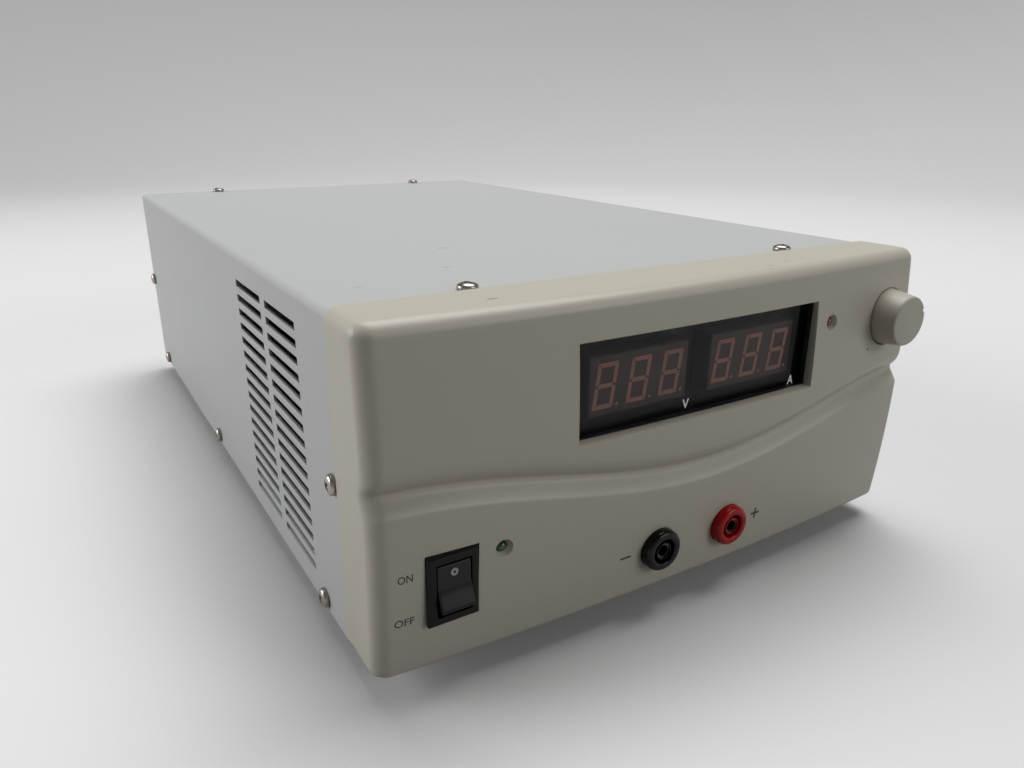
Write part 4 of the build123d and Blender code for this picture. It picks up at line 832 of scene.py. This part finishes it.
@dataclass
class Fascia:
    """The front moulding: bowed face, wavy groove and the openings for the controls."""

    form: BezelShape = field(default_factory=BezelShape)
    side_radius: float = 5.0
    top_radius: float = 4.0
    bottom_radius: float = 2.0
    backing: float = 2.4
    following: float = 8.0
    row_step: float = 4.4
    columns: int = 71
    first_column: float = -103.9
    column_step: float = 2.968
    display: tuple[float, float, float, float] = (1.8, 82.494, 98.2, 29.0)
    display_seat: float = -186.782
    display_margin: float = 7.0
    slope: float = 0.55
    slope_depth: float = 1.3
    switch: tuple[float, float, float, float] = (-87.5, 34.687, 16.0, 22.3)
    switch_seat: float = -186.982
    switch_rim: float = 3.0
    knob: Triple = (93.5, -185.618, 86.604)
    lamps: tuple[tuple[float, float], ...] = ((-71.7, 41.69), (59.6, 89.19))
    lamp_depth: float = 1.6
    lamp_hole: tuple[tuple[float, float], ...] = ((1.8, -14.0), (1.8, 0.0), (2.9, 1.7), (3.4, 4.0))
    knob_hole: tuple[tuple[float, float], ...] = ((3.6, -12), (3.6, 0), (10.75, 0), (10.75, 10))
    sockets: tuple[tuple[float, float], ...] = ((-14.0, 24.304), (16.6, 24.304))
    socket_hole: tuple[tuple[float, float], ...] = ((6.1, -12), (6.1, 0), (7.2, 0), (7.2, 10))
    socket_seat: float = -188.6

    def rows(self) -> list[float]:
        """Heights of the rows that the face is cut into, close together along the groove.

        Returns:
            The heights in millimetres.
        """
        near = [-8, -7, -6.5, -6, -5.5, -5, -4.2, -3.4, -2.6, -1.8, -1.3, -0.9, -0.5, 0, 0.4, 0.8, 1.2, 1.7, 2.3]
        near += [3, 3.7, 4.4, 5, 5.5, 6, 7, 8]
        rows = [self.form.wave_middle + rise for rise in near]
        rows += [self.form.bottom + 2.5 + self.row_step * step for step in range(9)]
        rows += [self.form.wave_middle + 12 + self.row_step * step for step in range(9)]
        return rows

    def waved(self, place: Vector) -> Vector:
        """A point of the straight block, moved so that the rows follow the wave.

        Args:
            place: the point.

        Returns:
            Where the point goes.
        """
        form = self.form
        shift = form.wave(place.x) - form.wave_middle
        away = place.z - form.wave_middle
        span = (form.top - 5 - form.wave_middle) if away > 0 else (form.wave_middle - form.bottom - 3)
        share = min(max((abs(away) - self.following) / (span - self.following), 0), 1)
        weight = 1 - share * share * (3 - 2 * share)
        return Vector((place.x, place.y, place.z + shift * weight))

    def grooved(self, place: Vector, wall: float = 0.0) -> Vector:
        """A point of the waved block, bowed and then pressed back into the groove.

        Args:
            place: the point.
            wall: how far the front of its block lies behind the face, 0 on the outside.

        Returns:
            Where the point goes.
        """
        form = self.form
        depth = (form.rear_y - place.y) / (form.rear_y - form.corner_y - wall)
        share = min(max(depth, 0), 1)
        side = form.width / 2
        bow = form.bow(min(max(place.x, -side), side), min(max(place.z, form.bottom), form.top))
        y = place.y - bow * share
        rise = place.z - form.wave(place.x)
        if share > 0 and abs(rise) < form.groove_reach:
            groove = form.groove(rise)
            if wall:
                bed = form.face(place.x, form.wave(place.x)) + groove + self.backing
                y = form.larger(y, bed) if bed > y - 2 else y
            else:
                y += form.larger(groove, 0) * share
        return Vector((place.x, y, place.z))

    def shell(self) -> Piece:
        """The bowed block with its rounded edges, hollowed out from behind.

        Returns:
            The moulding without its openings.
        """
        form = self.form
        depth = form.rear_y - form.corner_y
        middle_y = (form.rear_y + form.corner_y) / 2
        body = block("front_bezel_shell", (0, middle_y, form.middle), (form.width, depth, form.height))
        front = form.corner_y + 0.1
        edges_where(body, lambda a, b: a.y < front and b.y < front and abs(a.z - b.z) > 90)
        round_edges(self.side_radius, 10)
        top = form.top - 0.1
        rear = form.rear_y - 0.1
        edges_where(body, lambda a, b: a.z > top and b.z > top and min(a.y, b.y) < rear)
        round_edges(self.top_radius, 8)
        low = form.bottom + 0.1
        edges_where(body, lambda a, b: a.z < low and b.z < low and min(a.y, b.y) < rear)
        round_edges(self.bottom_radius, 5)
        slice_at(body, 0, [self.first_column + self.column_step * step for step in range(self.columns)])
        slice_at(body, 2, self.rows())
        shape(body, lambda place: self.grooved(self.waved(place)))
        inner = (form.width - 2 * form.wall, depth - form.wall + 10, form.height - 2 * form.wall)
        hollow = block("hollow", (0, form.corner_y + form.wall + inner[1] / 2, form.middle), inner)
        slice_at(hollow, 0, [-105 + 7.5 * step for step in range(29)])
        slice_at(hollow, 2, [form.wave_middle + 2 * step for step in range(-22, 25)])
        shape(hollow, lambda place: self.grooved(self.waved(place), form.wall))
        combine(body, hollow)
        return body

    def flare(self) -> Piece:
        """The tool that slopes the rim of the display opening, following the bow.

        Returns:
            The tool.
        """
        x, z, width, height = self.display
        tool = block("tool", (x, 0, z), (width, 4.0, height))
        slice_at(tool, 0, [x - width / 2 + width * step / 24 for step in range(1, 24)])
        slice_at(tool, 2, [z - height / 2 + height * step / 6 for step in range(1, 6)])

        def sloped(place: Vector) -> Vector:
            """A point of the tool, moved outwards the nearer it lies to the face."""
            grow = self.slope * (1 - place.y / self.slope_depth)
            across = x + (place.x - x) * (1 + 2 * grow / width)
            up = z + (place.z - z) * (1 + 2 * grow / height)
            return Vector((across, self.form.face(across, up) + place.y, up))

        shape(tool, sloped)
        return tool

    def openings(self) -> list[Piece]:
        """The tools that cut the openings, from left to right.

        Returns:
            The tools.
        """
        form = self.form
        x, z, width, height = self.display
        display = block("tool", (x, form.corner_y, z), (width, 40, height))
        edges_where(display, lambda a, b: abs(a.y - b.y) > 30)
        round_edges(0.6, 4)
        tools = [self.flare(), display]
        pocket = 20.0
        across, up = width + self.display_margin, height + self.display_margin
        tools.append(block("tool", (x, self.display_seat + pocket / 2, z), (across, pocket, up)))
        x, z, width, height = self.switch
        tools.append(block("tool", (x, self.switch_seat - 5, z), (width, 10, height)))
        across, up = width - self.switch_rim, height - self.switch_rim
        tools.append(block("tool", (x, self.switch_seat, z), (across, 30, up)))
        for x, z in self.lamps:
            step = form.face(x, z) + self.lamp_depth
            tools.append(turned("tool", self.lamp_hole, (x, step, z), Direction.FRONT, 40))
        tools.append(turned("tool", self.knob_hole, self.knob, Direction.FRONT))
        for x, z in self.sockets:
            tools.append(turned("tool", self.socket_hole, (x, self.socket_seat, z), Direction.FRONT))
        return tools

    def build(self, finish: Material) -> Piece:
        """Model, cut and dress the moulding.

        Args:
            finish: its material.

        Returns:
            The finished piece.
        """
        body = self.shell()
        for tool in self.openings():
            combine(body, tool)
        tidy(body)
        soften(body, 0.3, 2, 50)
        smooth(body, 32)
        even_normals(body)
        return hand_over(body, "case", "bezel_plastic", finish, "front_bezel")


# Cover, screws and knobs


@dataclass
class Cover:
    """The painted sheet bent over the top and both sides, with its vent slots."""

    width: float = 218.8
    bottom: float = 8.0
    top: float = 109.0
    front_y: float = -162.482
    rear_y: float = 170.718
    sheet: float = 1.0
    bend: float = 2.6
    slot: tuple[float, float] = (32.4, 2.6)
    pitch: tuple[float, float] = (38.3, 5.353)
    first: tuple[float, float] = (-117.082, 17.696)
    rows: int = 16

    def slots(self) -> Piece:
        """The tools for all the slots, each reaching through both sides.

        Returns:
            The tools, joined into one.
        """
        pattern = block("slots", (0, 0, 0), (self.width + 10, *self.slot))
        edges_where(pattern, lambda a, b: abs(a.x - b.x) > 100)
        round_edges(0.35, 3)
        (y, z), (across, up) = self.first, self.pitch
        places = [
            Matrix.Translation(Vector((0, y + column * across, z + row * up)) * MM)
            for column in (0, 1)
            for row in range(self.rows)
        ]
        return copies(pattern, places, "slots")

    def build(self, finish: Material) -> Piece:
        """Bend, pierce and dress the cover.

        Args:
            finish: its material.

        Returns:
            The finished piece.
        """
        length = self.rear_y - self.front_y
        height = self.top - self.bottom
        centre = (0, (self.rear_y + self.front_y) / 2, (self.top + self.bottom) / 2)
        sheet = block("painted_cover", centre, (self.width, length, height))
        edges_where(sheet, lambda a, b: min(a.z, b.z) > self.top - 0.1 and abs(a.y - b.y) > 100)
        round_edges(self.bend, 8)
        faces_where(sheet, lambda middle, normal: abs(normal.y) > 0.9 or normal.z < -0.9)
        bpy.ops.mesh.delete(type="FACE")
        bpy.ops.object.mode_set(mode="OBJECT")
        apply_modifier(sheet, "SOLIDIFY", thickness=self.sheet * MM, offset=-1, use_even_offset=True)
        combine(sheet, self.slots())
        tidy(sheet)
        soften(sheet, 0.16, 2, 50)
        smooth(sheet, 40)
        even_normals(sheet)
        return hand_over(sheet, "case", "cover_paint", finish, "top_cover")


@dataclass
class PanHeadScrew:
    """A cross-recess pan head screw."""

    radius: float = 3.2
    height: float = 2.2
    shank: float = 1.9
    length: float = 6.0
    recess: Triple = (3.9, 0.95, 2.4)
    recess_taper: float = 0.45

    def tapered(self, place: Vector) -> Vector:
        """A point of the recess's blade, drawn in at its lower end."""
        return Vector((place.x * (self.recess_taper if place.z < 1.5 else 1.0), place.y, place.z))

    def pattern(self) -> Piece:
        """One screw standing on the origin.

        Returns:
            The screw.
        """
        rim, rise = 0.45 * self.height, 0.55 * self.height
        angles = [math.radians(step) for step in (0, 15, 30, 45, 58, 70, 80, 86)]
        dome = [(self.radius * math.cos(a), rim + rise * math.sin(a)) for a in angles]
        outline = [(self.shank, -self.length), (self.shank, 0), (self.radius - 0.15, 0), (self.radius, 0.2)]
        screw = turned("screw", outline + dome, (0, 0, 0), Direction.UP, 40)
        for turn in (0, math.pi / 2):
            blade = block("tool", (0, 0, self.height - 0.2), self.recess)
            shape(blade, self.tapered)
            blade.matrix_world = Matrix.Rotation(turn, 4, "Z")
            settle(blade)
            combine(screw, blade)
        tidy(screw)
        smooth(screw, 38)
        return screw


@dataclass
class CoverScrews:
    """The screws that hold the cover, each turned its own way."""

    top: tuple[tuple[float, float], ...] = ((-66.0, -158.582), (-66.0, 165.918), (66.0, -158.582), (66.0, 165.918))
    side: tuple[tuple[float, float], ...] = (
        (-158.582, 58.5),
        (165.918, 58.5),
        (-142.482, 12.0),
        (9.118, 12.0),
        (151.518, 12.0),
    )
    half_width: float = 109.4
    cover_top: float = 109.0

    def build(self, finish: Material) -> None:
        """Copy the pattern to every place.

        Args:
            finish: its material.
        """
        top = [
            Matrix.Translation(Vector((x, y, self.cover_top)) * MM) @ Matrix.Rotation(0.4 + 1.1 * place, 4, "Z")
            for place, (x, y) in enumerate(self.top)
        ]
        screws = copies(PanHeadScrew().pattern(), top, "top_screws")
        hand_over(screws, "case", "nickel", finish, "cover_top_screws")
        side = []
        for sign, facing in ((-1, Direction.LEFT), (1, Direction.RIGHT)):
            turn = Euler(facing.value).to_matrix().to_4x4()
            for place, (y, z) in enumerate(self.side):
                spot = Matrix.Translation(Vector((sign * self.half_width, y, z)) * MM)
                side.append(spot @ turn @ Matrix.Rotation(0.7 + 0.9 * place, 4, "Z"))
        screws = copies(PanHeadScrew().pattern(), side, "side_screws")
        hand_over(screws, "case", "nickel", finish, "cover_side_screws")


@dataclass
class VoltageKnob:
    """The plain round knob with a notch as its pointer."""

    centre: Triple = (93.5, -186.118, 86.604)
    front_radius: float = 9.1
    height: float = 9.8
    edge: float = 0.9
    notch: Triple = (2.6, 3.4, 1.5)
    notch_angle: float = 22.0

    def build(self, finish: Material) -> Piece:
        """Turn the knob, cut its notch and dress it.

        Args:
            finish: its material.

        Returns:
            The finished piece.
        """
        corner = arc((self.front_radius - self.edge, self.height - self.edge), self.edge, 0, 90, 6)
        outline = [(3.06, 8.0), (3.06, 4.0), (8.45, 4.0), (8.45, 0.0), (9.95, 0.0), (10.23, 0.3)]
        outline += corner
        knob = turned("voltage_knob_turned", outline, self.centre, Direction.FRONT, 96)
        x, y, z = self.centre
        notch = block("tool", (self.front_radius, y - self.height, 0), self.notch)
        edges_where(notch, lambda a, b: abs(a.y - b.y) > 1)
        round_edges(0.35, 3)
        notch.matrix_world = Matrix.Translation(Vector((x, 0, z)) * MM) @ Matrix.Rotation(
            -math.radians(self.notch_angle), 4, "Y"
        )
        settle(notch)
        combine(knob, notch)
        tidy(knob)
        smooth(knob, 35)
        return hand_over(knob, "knob", "bezel_plastic", finish, "voltage_knob")


@dataclass
class AuxiliarySocket:
    """A shrouded socket with its rounded flange."""

    node: str
    x: float
    slot: str
    face: float
    z: float = 24.304
    seat: float = -188.6
    proud: float = 3.5
    flange: float = 7.1
    flange_edge: float = 1.6
    mouth: float = 4.15
    mouth_edge: float = 0.8
    core: float = 3.0
    core_edge: float = 0.25
    bore: float = 2.6
    depth: float = 9.0

    def build(self, finish: Material) -> Piece:
        """Turn the housing and dress it.

        Args:
            finish: its material.

        Returns:
            The finished piece.
        """
        front = self.proud - self.face + self.seat
        floor = front - self.depth
        edge = arc((self.flange - self.flange_edge, front - self.flange_edge), self.flange_edge, 0, 90, 8)
        lip = arc((self.mouth + self.mouth_edge, front - self.mouth_edge), self.mouth_edge, 90, 180, 6)
        core = arc((self.core - self.core_edge, front - 0.85), self.core_edge, 0, 90, 3)
        outline = [(6.0, -14.0), (6.0, 0.0), (self.flange, 0.0)] + edge + lip
        outline += [(self.mouth, floor), (self.core, floor)] + core
        outline += [(2.62, front - 0.6), (self.bore, front - 1.0), (self.bore, floor + 1.0)]
        housing = turned(self.node + "_housing", outline, (self.x, self.seat, self.z), Direction.FRONT, 72)
        smooth(housing, 40)
        return hand_over(housing, "case", self.slot, finish, self.node)


# Switch


@dataclass
class PowerSwitch:
    """The rocker switch: a frame with a chamfered rim and the rocker in its well."""

    x: float = -87.5
    z: float = 34.687
    seat: float = -186.982
    frame: tuple[float, float, float] = (15.8, 22.1, 2.0)
    body: tuple[float, float, float] = (12.8, 19.2, 16.0)
    well: tuple[float, float, float] = (10.8, 16.4, 8.0)
    rocker: tuple[float, float] = (10.4, 6.8)
    pivot_depth: float = 4.0
    tilt: float = 12.0
    ring_height: float = 4.1

    def build(self, black: Material, gloss: Material, dot: Material) -> None:
        """Model and dress the frame, the rocker and its ring mark.

        Args:
            black: the frame's material.
            gloss: the rocker's material.
            dot: the ring mark's material.
        """
        width, height, thick = self.frame
        front = self.seat - thick
        frame = block("switch_frame", (self.x, self.seat - thick / 2, self.z), (width, thick, height))
        edges_where(frame, lambda a, b: max(a.y, b.y) < front + 0.1)
        round_edges(0.9, 1)
        body_width, body_height, body_depth = self.body
        centre = (self.x, self.seat + body_depth / 2 - 0.5, self.z)
        combine(frame, block("tool", centre, (body_width, body_depth + 1, body_height)), "UNION")
        well_width, well_height, well_depth = self.well
        centre = (self.x, front + well_depth / 2 - 1, self.z)
        combine(frame, block("tool", centre, (well_width, well_depth + 2, well_height)))
        tidy(frame)
        soften(frame, 0.18, 2, 30)
        smooth(frame, 35)
        even_normals(frame)
        hand_over(frame, "case", "black_plastic", black, "switch_housing")
        self.build_rocker(front + self.pivot_depth, gloss, dot)

    def build_rocker(self, pivot: float, gloss: Material, dot: Material) -> None:
        """Model the rocker level, dish its face, and tip it to its ON side.

        Args:
            pivot: Y of the axis that the rocker tips on.
            gloss: the rocker's material.
            dot: the ring mark's material.
        """
        wide, half = self.rocker
        rise = math.tan(math.radians(self.tilt))
        rocker = block("rocker_paddle", (0, -1.0, 0), (wide, 6.0, 2 * half))
        slice_at(rocker, 2, [half * share for share in (-0.85, -0.6, -0.35, -0.15, 0, 0.15, 0.35, 0.6, 0.85)])

        def dish(place: Vector) -> Vector:
            """A point of the rocker, whose front falls away on both sides of its middle."""
            if place.y < -2:
                return Vector((place.x, -self.pivot_depth - math.sqrt(place.z**2 + 0.3) * rise, place.z))
            return place

        shape(rocker, dish)
        shape(rocker, lambda place: Vector((place.x, place.y, place.z * (1 - 0.04 * (place.y > 0)))))
        soften(rocker, 0.45, 3, 40)
        tidy(rocker)
        smooth(rocker, 40)
        even_normals(rocker)
        outline = [(0.4, 0.0), (0.4, 0.05), (1.15, 0.05), (1.15, 0.0)]
        ring = turned("rocker_ring", outline, (0, 0, 0), Direction.FRONT, 40)

        def raised(place: Vector) -> Vector:
            """A point of the ring, laid on the rocker's upper half."""
            height = place.z + self.ring_height
            return Vector((place.x, place.y - self.pivot_depth - height * rise, height))

        shape(ring, raised)
        place = Matrix.Translation(Vector((self.x, pivot, self.z)) * MM) @ Matrix.Rotation(
            -math.radians(self.tilt), 4, "X"
        )
        for piece in (rocker, ring):
            piece.matrix_world = place
            settle(piece)
        hand_over(rocker, "rocker", "black_plastic", gloss, "power_rocker")
        hand_over(ring, "rocker", "black_plastic", dot)


# Display


@dataclass
class DigitBlock:
    """Three slanted seven-segment digits with their points, on the face of one module."""

    name: str
    x: float
    z: float = 81.297
    face_y: float = -182.682
    pitch: float = 12.7
    width: float = 7.6
    height: float = 14.2
    stroke: float = 1.35
    gap: float = 0.14
    proud: float = 0.12
    slant: float = 8.0

    def bar(self, corner: Callable[[float, float], tuple[float, float]], pointed: bool = False) -> Piece:
        """One flat segment.

        Args:
            corner: gives X and Z of each corner from its signs across and up.
            pointed: whether both ends come to a point half way up.

        Returns:
            The segment, round the digit's middle.
        """
        segment = block("bar", (0, 0, 0), (2, self.proud, 2))
        if pointed:
            slice_at(segment, 2, [0.0])

        def placed(point: Vector) -> Vector:
            """A corner of the flat block, at its place in the digit."""
            x, z = corner(point.x, point.z)
            return Vector((x, point.y, z))

        shape(segment, placed)
        return segment

    def digit(self) -> Piece:
        """All seven segments and the point of one digit.

        Returns:
            The digit, round its own middle.
        """
        half, rise, stroke, gap = self.width / 2, self.height / 2, self.stroke, self.gap
        parts = []
        for end in (-1, 1):

            def level_bar(a: float, b: float, end: int = end) -> tuple[float, float]:
                """A corner of the top or the bottom segment."""
                inset = stroke * (b * end < 0)
                return a * (half - gap - inset), end * (rise - inset)

            parts.append(self.bar(level_bar))
            for level in (-1, 1):

                def upright(a: float, b: float, end: int = end, level: int = level) -> tuple[float, float]:
                    """A corner of one of the four upright segments."""
                    inner = a * end < 0
                    outer_end = rise - gap - stroke * inner
                    inner_end = gap + stroke / 2 * inner
                    return end * (half - stroke * inner), level * (outer_end if b * level > 0 else inner_end)

                parts.append(self.bar(upright))
        middle = half - stroke / 2 - gap
        parts.append(self.bar(lambda a, b: (a * (middle - stroke / 2 * abs(b)), b * stroke / 2), True))
        dot = turned("dot", [(0.5, 0.0), (0.5, self.proud)], (0, self.proud / 2, 0), Direction.FRONT, 20)
        dot.data.transform(Matrix.Translation(Vector((half + 1.7, 0, 0.68 - rise)) * MM))
        parts.append(dot)
        return joined(parts, "digit")

    def build(self, finish: Material) -> Piece:
        """Lay out the digits, slant them and dress them.

        Args:
            finish: its material.

        Returns:
            The finished piece.
        """
        places = [Matrix.Translation(Vector((step * self.pitch - 0.6, 0, 0)) * MM) for step in (-1, 0, 1)]
        digits = copies(self.digit(), places, self.name)
        tidy(digits)
        lean = math.tan(math.radians(self.slant))
        shape(digits, lambda p: Vector((self.x + p.x + p.z * lean, self.face_y - 0.07 + p.y, self.z + p.z)))
        return hand_over(digits, "case", "digit_module", finish)


@dataclass
class Print:
    """A printed word or mark, following the face that it lies on."""

    name: str
    text: str
    centre: tuple[float, float]
    size: tuple[float, float]
    weight: float = 0.012
    lift: float = 0.03

    def build(self, finish: Material, lie: Callable[[float, float], float]) -> Piece:
        """Write the word, make it a mesh and lay it on its face.

        Args:
            finish: the ink.
            lie: gives Y of the face at a point of the front view.

        Returns:
            The printed piece.
        """
        deselect_all()
        bpy.ops.object.text_add(location=(0, 0, 0))
        word = bpy.context.active_object
        word.data.body = self.text
        word.data.size = 1.0
        word.data.align_x = "CENTER"
        word.data.align_y = "CENTER"
        word.data.resolution_u = 6
        word.data.offset = self.weight
        bpy.ops.object.convert(target="MESH")
        mark = bpy.context.active_object
        mark.name = self.name
        mark.data.name = self.name
        ys = [vertex.co.y for vertex in mark.data.vertices]
        xs = [vertex.co.x for vertex in mark.data.vertices]
        middle = ((max(xs) + min(xs)) / 2, (max(ys) + min(ys)) / 2)
        across = self.size[0] / (max(xs) - min(xs))
        up = self.size[1] / (max(ys) - min(ys))

        def laid(place: Vector) -> Vector:
            """A point of the flat word, on the face."""
            x = self.centre[0] + (place.x - middle[0]) * across
            z = self.centre[1] + (place.y - middle[1]) * up
            return Vector((x, lie(x, z) - self.lift, z))

        for vertex in mark.data.vertices:
            vertex.co = laid(vertex.co) * MM
        mark.data.update()
        return hand_over(mark, "case", "black_plastic", finish)


# Lamps


@dataclass
class Lamp:
    """A domed lamp at the bottom of its countersunk hole."""

    node: str
    slot: str
    x: float
    z: float
    tip: float
    radius: float = 1.7

    def build(self, finish: Material) -> Piece:
        """Turn the lamp and dress it.

        Args:
            finish: its material.

        Returns:
            The finished piece.
        """
        dome = arc((0.0, -self.radius), self.radius, 0, 86, 10)
        outline = [(2.2, -6.5), (2.2, -5.5), (self.radius, -5.5)] + dome
        lamp = turned(self.node + "_dome", outline, (self.x, self.tip, self.z), Direction.FRONT, 40)
        smooth(lamp, 40)
        return hand_over(lamp, "case", self.slot, finish, self.node)


# What stays as the solid has it


NODE_FINISHES = {
    "surround_black": ("display_surround", "display_board"),
    "smoked_window": ("display_window",),
    "display_face": ("volts_module", "amps_module"),
    "circuit_board": ("main_board",),
    "nickel": (
        "display_board_screws",
        "bezel_screws",
        "pot_nut",
        "socket_nuts",
        "feet_screws",
        "feet_nuts",
        "board_screws",
        "fan_guard",
        "fan_screws",
        "post_studs",
        "post_washers",
        "post_nuts",
        "board_standoffs",
    ),
    # The sleeves take the darker metal, painted shade for the deep bores.
    "sleeve_metal_painted_shade": ("socket_sleeves",),
    "zinc_steel": ("pot_body", "chassis", "pot_shaft"),
    "brass": ("switch_terminals", "inlet_pins"),
    "rubber": ("rubber_feet",),
    "aluminium": ("primary_heat_sink", "output_heat_sink"),
    "epoxy": ("power_transistors", "output_rectifiers", "bridge_rectifier"),
    "ferrite": ("transformer_core", "output_choke_core", "line_choke_core"),
    "winding_tape": ("transformer_winding",),
    "copper": ("output_choke_winding", "line_choke_windings", "output_busbars"),
    "can_sleeve": ("bulk_capacitors", "output_capacitors"),
    "black_plastic": (
        "fan_frame",
        "fan_rotor",
        "mains_inlet",
        "fuse_drawer",
        "post_base_negative",
        "post_cap_negative",
    ),
    "red_plastic": ("post_base_positive", "post_cap_positive"),
}


def dress_nodes(nodes: dict[str, Piece], materials: dict[str, Material]) -> None:
    """Give every carried-over CAD node its material.

    Args:
        nodes: the CAD nodes by name.
        materials: the finished materials by name.
    """
    for finish, names in NODE_FINISHES.items():
        for name in names:
            mesh = nodes[name].data
            mesh.materials.clear()
            mesh.materials.append(materials[finish])
            LOG.info("%s: %s", name, finish)


# Studio


@dataclass
class Studio:
    """Floor, backdrop, lights and camera."""

    camera_place: Triple = (-168.87, -349.45, 156.82)
    azimuth: float = 31.710
    elevation: float = 19.443
    roll: float = 0.329
    lens: float = 27.11
    sweep: Triple = (1500.0, 1500.0, 3600.0)
    floor_colour: tuple[int, int, int] = (232, 232, 233)
    bounce_colour: tuple[int, int, int] = (112, 112, 112)
    surround: float = 0.1

    def build(self) -> None:
        """Build the whole studio."""
        self.build_sweep()
        self.build_lights()
        self.build_world()
        self.build_camera()

    def build_sweep(self) -> None:
        """A round pale floor that curves up into a backdrop on every side."""
        flat, bend, top = self.sweep
        angles = [math.radians(step) for step in range(6, 91, 6)]
        outline = [(flat, 0.0)]
        outline += [(flat + bend * math.sin(a), bend - bend * math.cos(a)) for a in angles]
        outline += [(flat + bend + 20, top)]
        sweep = turned("studio_sweep", outline, (0, 0, 0), Direction.UP, 128)
        faces_where(sweep, lambda middle, normal: middle.z > top - 10 and abs(normal.z) > 0.9)
        bpy.ops.mesh.delete(type="FACE")
        bpy.ops.mesh.select_all(action="SELECT")
        bpy.ops.mesh.flip_normals()
        bpy.ops.object.mode_set(mode="OBJECT")
        smooth(sweep, 60)
        made = bpy.data.materials.new("studio_sweep")
        made.use_nodes = True
        tree = made.node_tree
        shader = tree.nodes["Principled BSDF"]
        path = tree.nodes.new("ShaderNodeLightPath")
        seen = math_node(tree, "MAXIMUM", path.outputs["Is Camera Ray"], path.outputs["Is Glossy Ray"])
        colour = mix_node(tree, seen, linear(*self.bounce_colour), linear(*self.floor_colour))
        tree.links.new(colour, shader.inputs["Base Color"])
        shader.inputs["Roughness"].default_value = 0.7
        shader.inputs["Specular IOR Level"].default_value = 0.2
        sweep.data.materials.append(made)

    def light(self, name: str, place: Triple, size: tuple[float, float], power: float, spread: float) -> None:
        """Hang one soft rectangular lamp, with its place in millimetres and its spread in degrees.

        Args:
            name: the lamp's name.
            place: its middle.
            size: its two sides.
            power: its power in watts.
            spread: how wide it shines.
        """
        data = bpy.data.lights.new(name, "AREA")
        data.spread = math.radians(spread)
        data.shape = "RECTANGLE"
        data.size, data.size_y = size[0] * MM, size[1] * MM
        data.energy = power
        lamp = bpy.data.objects.new(name, data)
        bpy.context.scene.collection.objects.link(lamp)
        lamp.location = Vector(place) * MM
        aim = Vector((0, 0, 50))
        lamp.rotation_euler = (aim - Vector(place)).to_track_quat("-Z", "Y").to_euler()

    def build_lights(self) -> None:
        """A broad lamp overhead and behind, one at the left, and a weak one at the front."""
        self.light("overhead", (700, 500, 2600), (2200, 1800), 63.5, 180)
        self.light("left_side", (-1700, 1000, 700), (1300, 1100), 5.5, 80)
        self.light("front_fill", (1100, -1900, 900), (1300, 1000), 2.4, 80)

    def build_world(self) -> None:
        """An even pale surround."""
        world = bpy.data.worlds.new("studio")
        bpy.context.scene.world = world
        world.use_nodes = True
        background = world.node_tree.nodes["Background"]
        background.inputs["Color"].default_value = (1.0, 1.0, 1.0, 1)
        background.inputs["Strength"].default_value = self.surround

    def build_camera(self) -> None:
        """The camera of the photograph."""
        data = bpy.data.cameras.new("camera")
        data.lens = self.lens
        data.sensor_width = 36.0
        data.clip_start = 0.01
        data.clip_end = 50.0
        camera = bpy.data.objects.new("camera", data)
        bpy.context.scene.collection.objects.link(camera)
        turn = Euler((math.radians(90 - self.elevation), 0, math.radians(-self.azimuth))).to_matrix()
        camera.matrix_world = Matrix.Translation(Vector(self.camera_place) * MM) @ (
            turn @ Matrix.Rotation(math.radians(self.roll), 3, "Z")
        ).to_4x4()
        bpy.context.scene.camera = camera
        bpy.context.scene.view_settings.view_transform = "Standard"


def main() -> None:
    """Load the frame, build every piece in order and report each one."""
    logging.basicConfig(level=logging.INFO, format="%(message)s")
    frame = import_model()
    effects = Effects()
    materials = {finish.name: finish.material(effects) for finish in FINISHES}
    dress_nodes(frame["nodes"], materials)
    studio = Studio()
    studio.build()
    fascia = Fascia()
    fascia.build(materials["bezel_plastic"])
    Cover().build(materials["cover_paint"])
    CoverScrews().build(materials["nickel"])
    VoltageKnob().build(materials["knob_plastic"])
    form = fascia.form
    for node, x, slot, ink in (
        ("aux_socket_negative", -14.0, "black_plastic", "gloss_black"),
        ("aux_socket_positive", 16.6, "red_plastic", "gloss_red"),
    ):
        AuxiliarySocket(node, x, slot, form.face(x, 24.304)).build(materials[ink])
    PowerSwitch().build(materials["black_plastic"], materials["rocker_black"], materials["printed_grey"])
    DigitBlock("volts_digits", -20.4).build(materials["segments"])
    DigitBlock("amps_digits", 27.6).build(materials["segments"])
    for node, slot, (x, z) in (
        ("power_led", "green_lamp", fascia.lamps[0]),
        ("overload_led", "red_lamp", fascia.lamps[1]),
    ):
        Lamp(node, slot, x, z, form.face(x, z) + 0.5).build(materials[slot])
    for mark in (
        Print("mark_on", "ON", (-101.1, 40.7), (4.3, 2.4)),
        Print("mark_off", "OFF", (-101.6, 27.0), (5.7, 2.4)),
        Print("mark_minus", "−", (-27.4, 24.6), (4.2, 0.75)),
        Print("mark_plus", "+", (31.2, 23.9), (4.2, 4.2)),
        Print("mark_least", "•", (83.1, 75.9), (0.9, 0.9)),
    ):
        mark.build(materials["printed_dark"], form.face)
    window = -184.982
    # The V and A marks are pale print with a weak painted glow.
    for mark in (
        Print("mark_volts", "V", (-3.0, 70.4), (2.7, 3.2)),
        Print("mark_amperes", "A", (46.0, 69.9), (2.8, 3.2)),
    ):
        mark.build(materials["printed_pale_painted_glow"], lambda x, z: window)


if __name__ == "__main__":
    main()
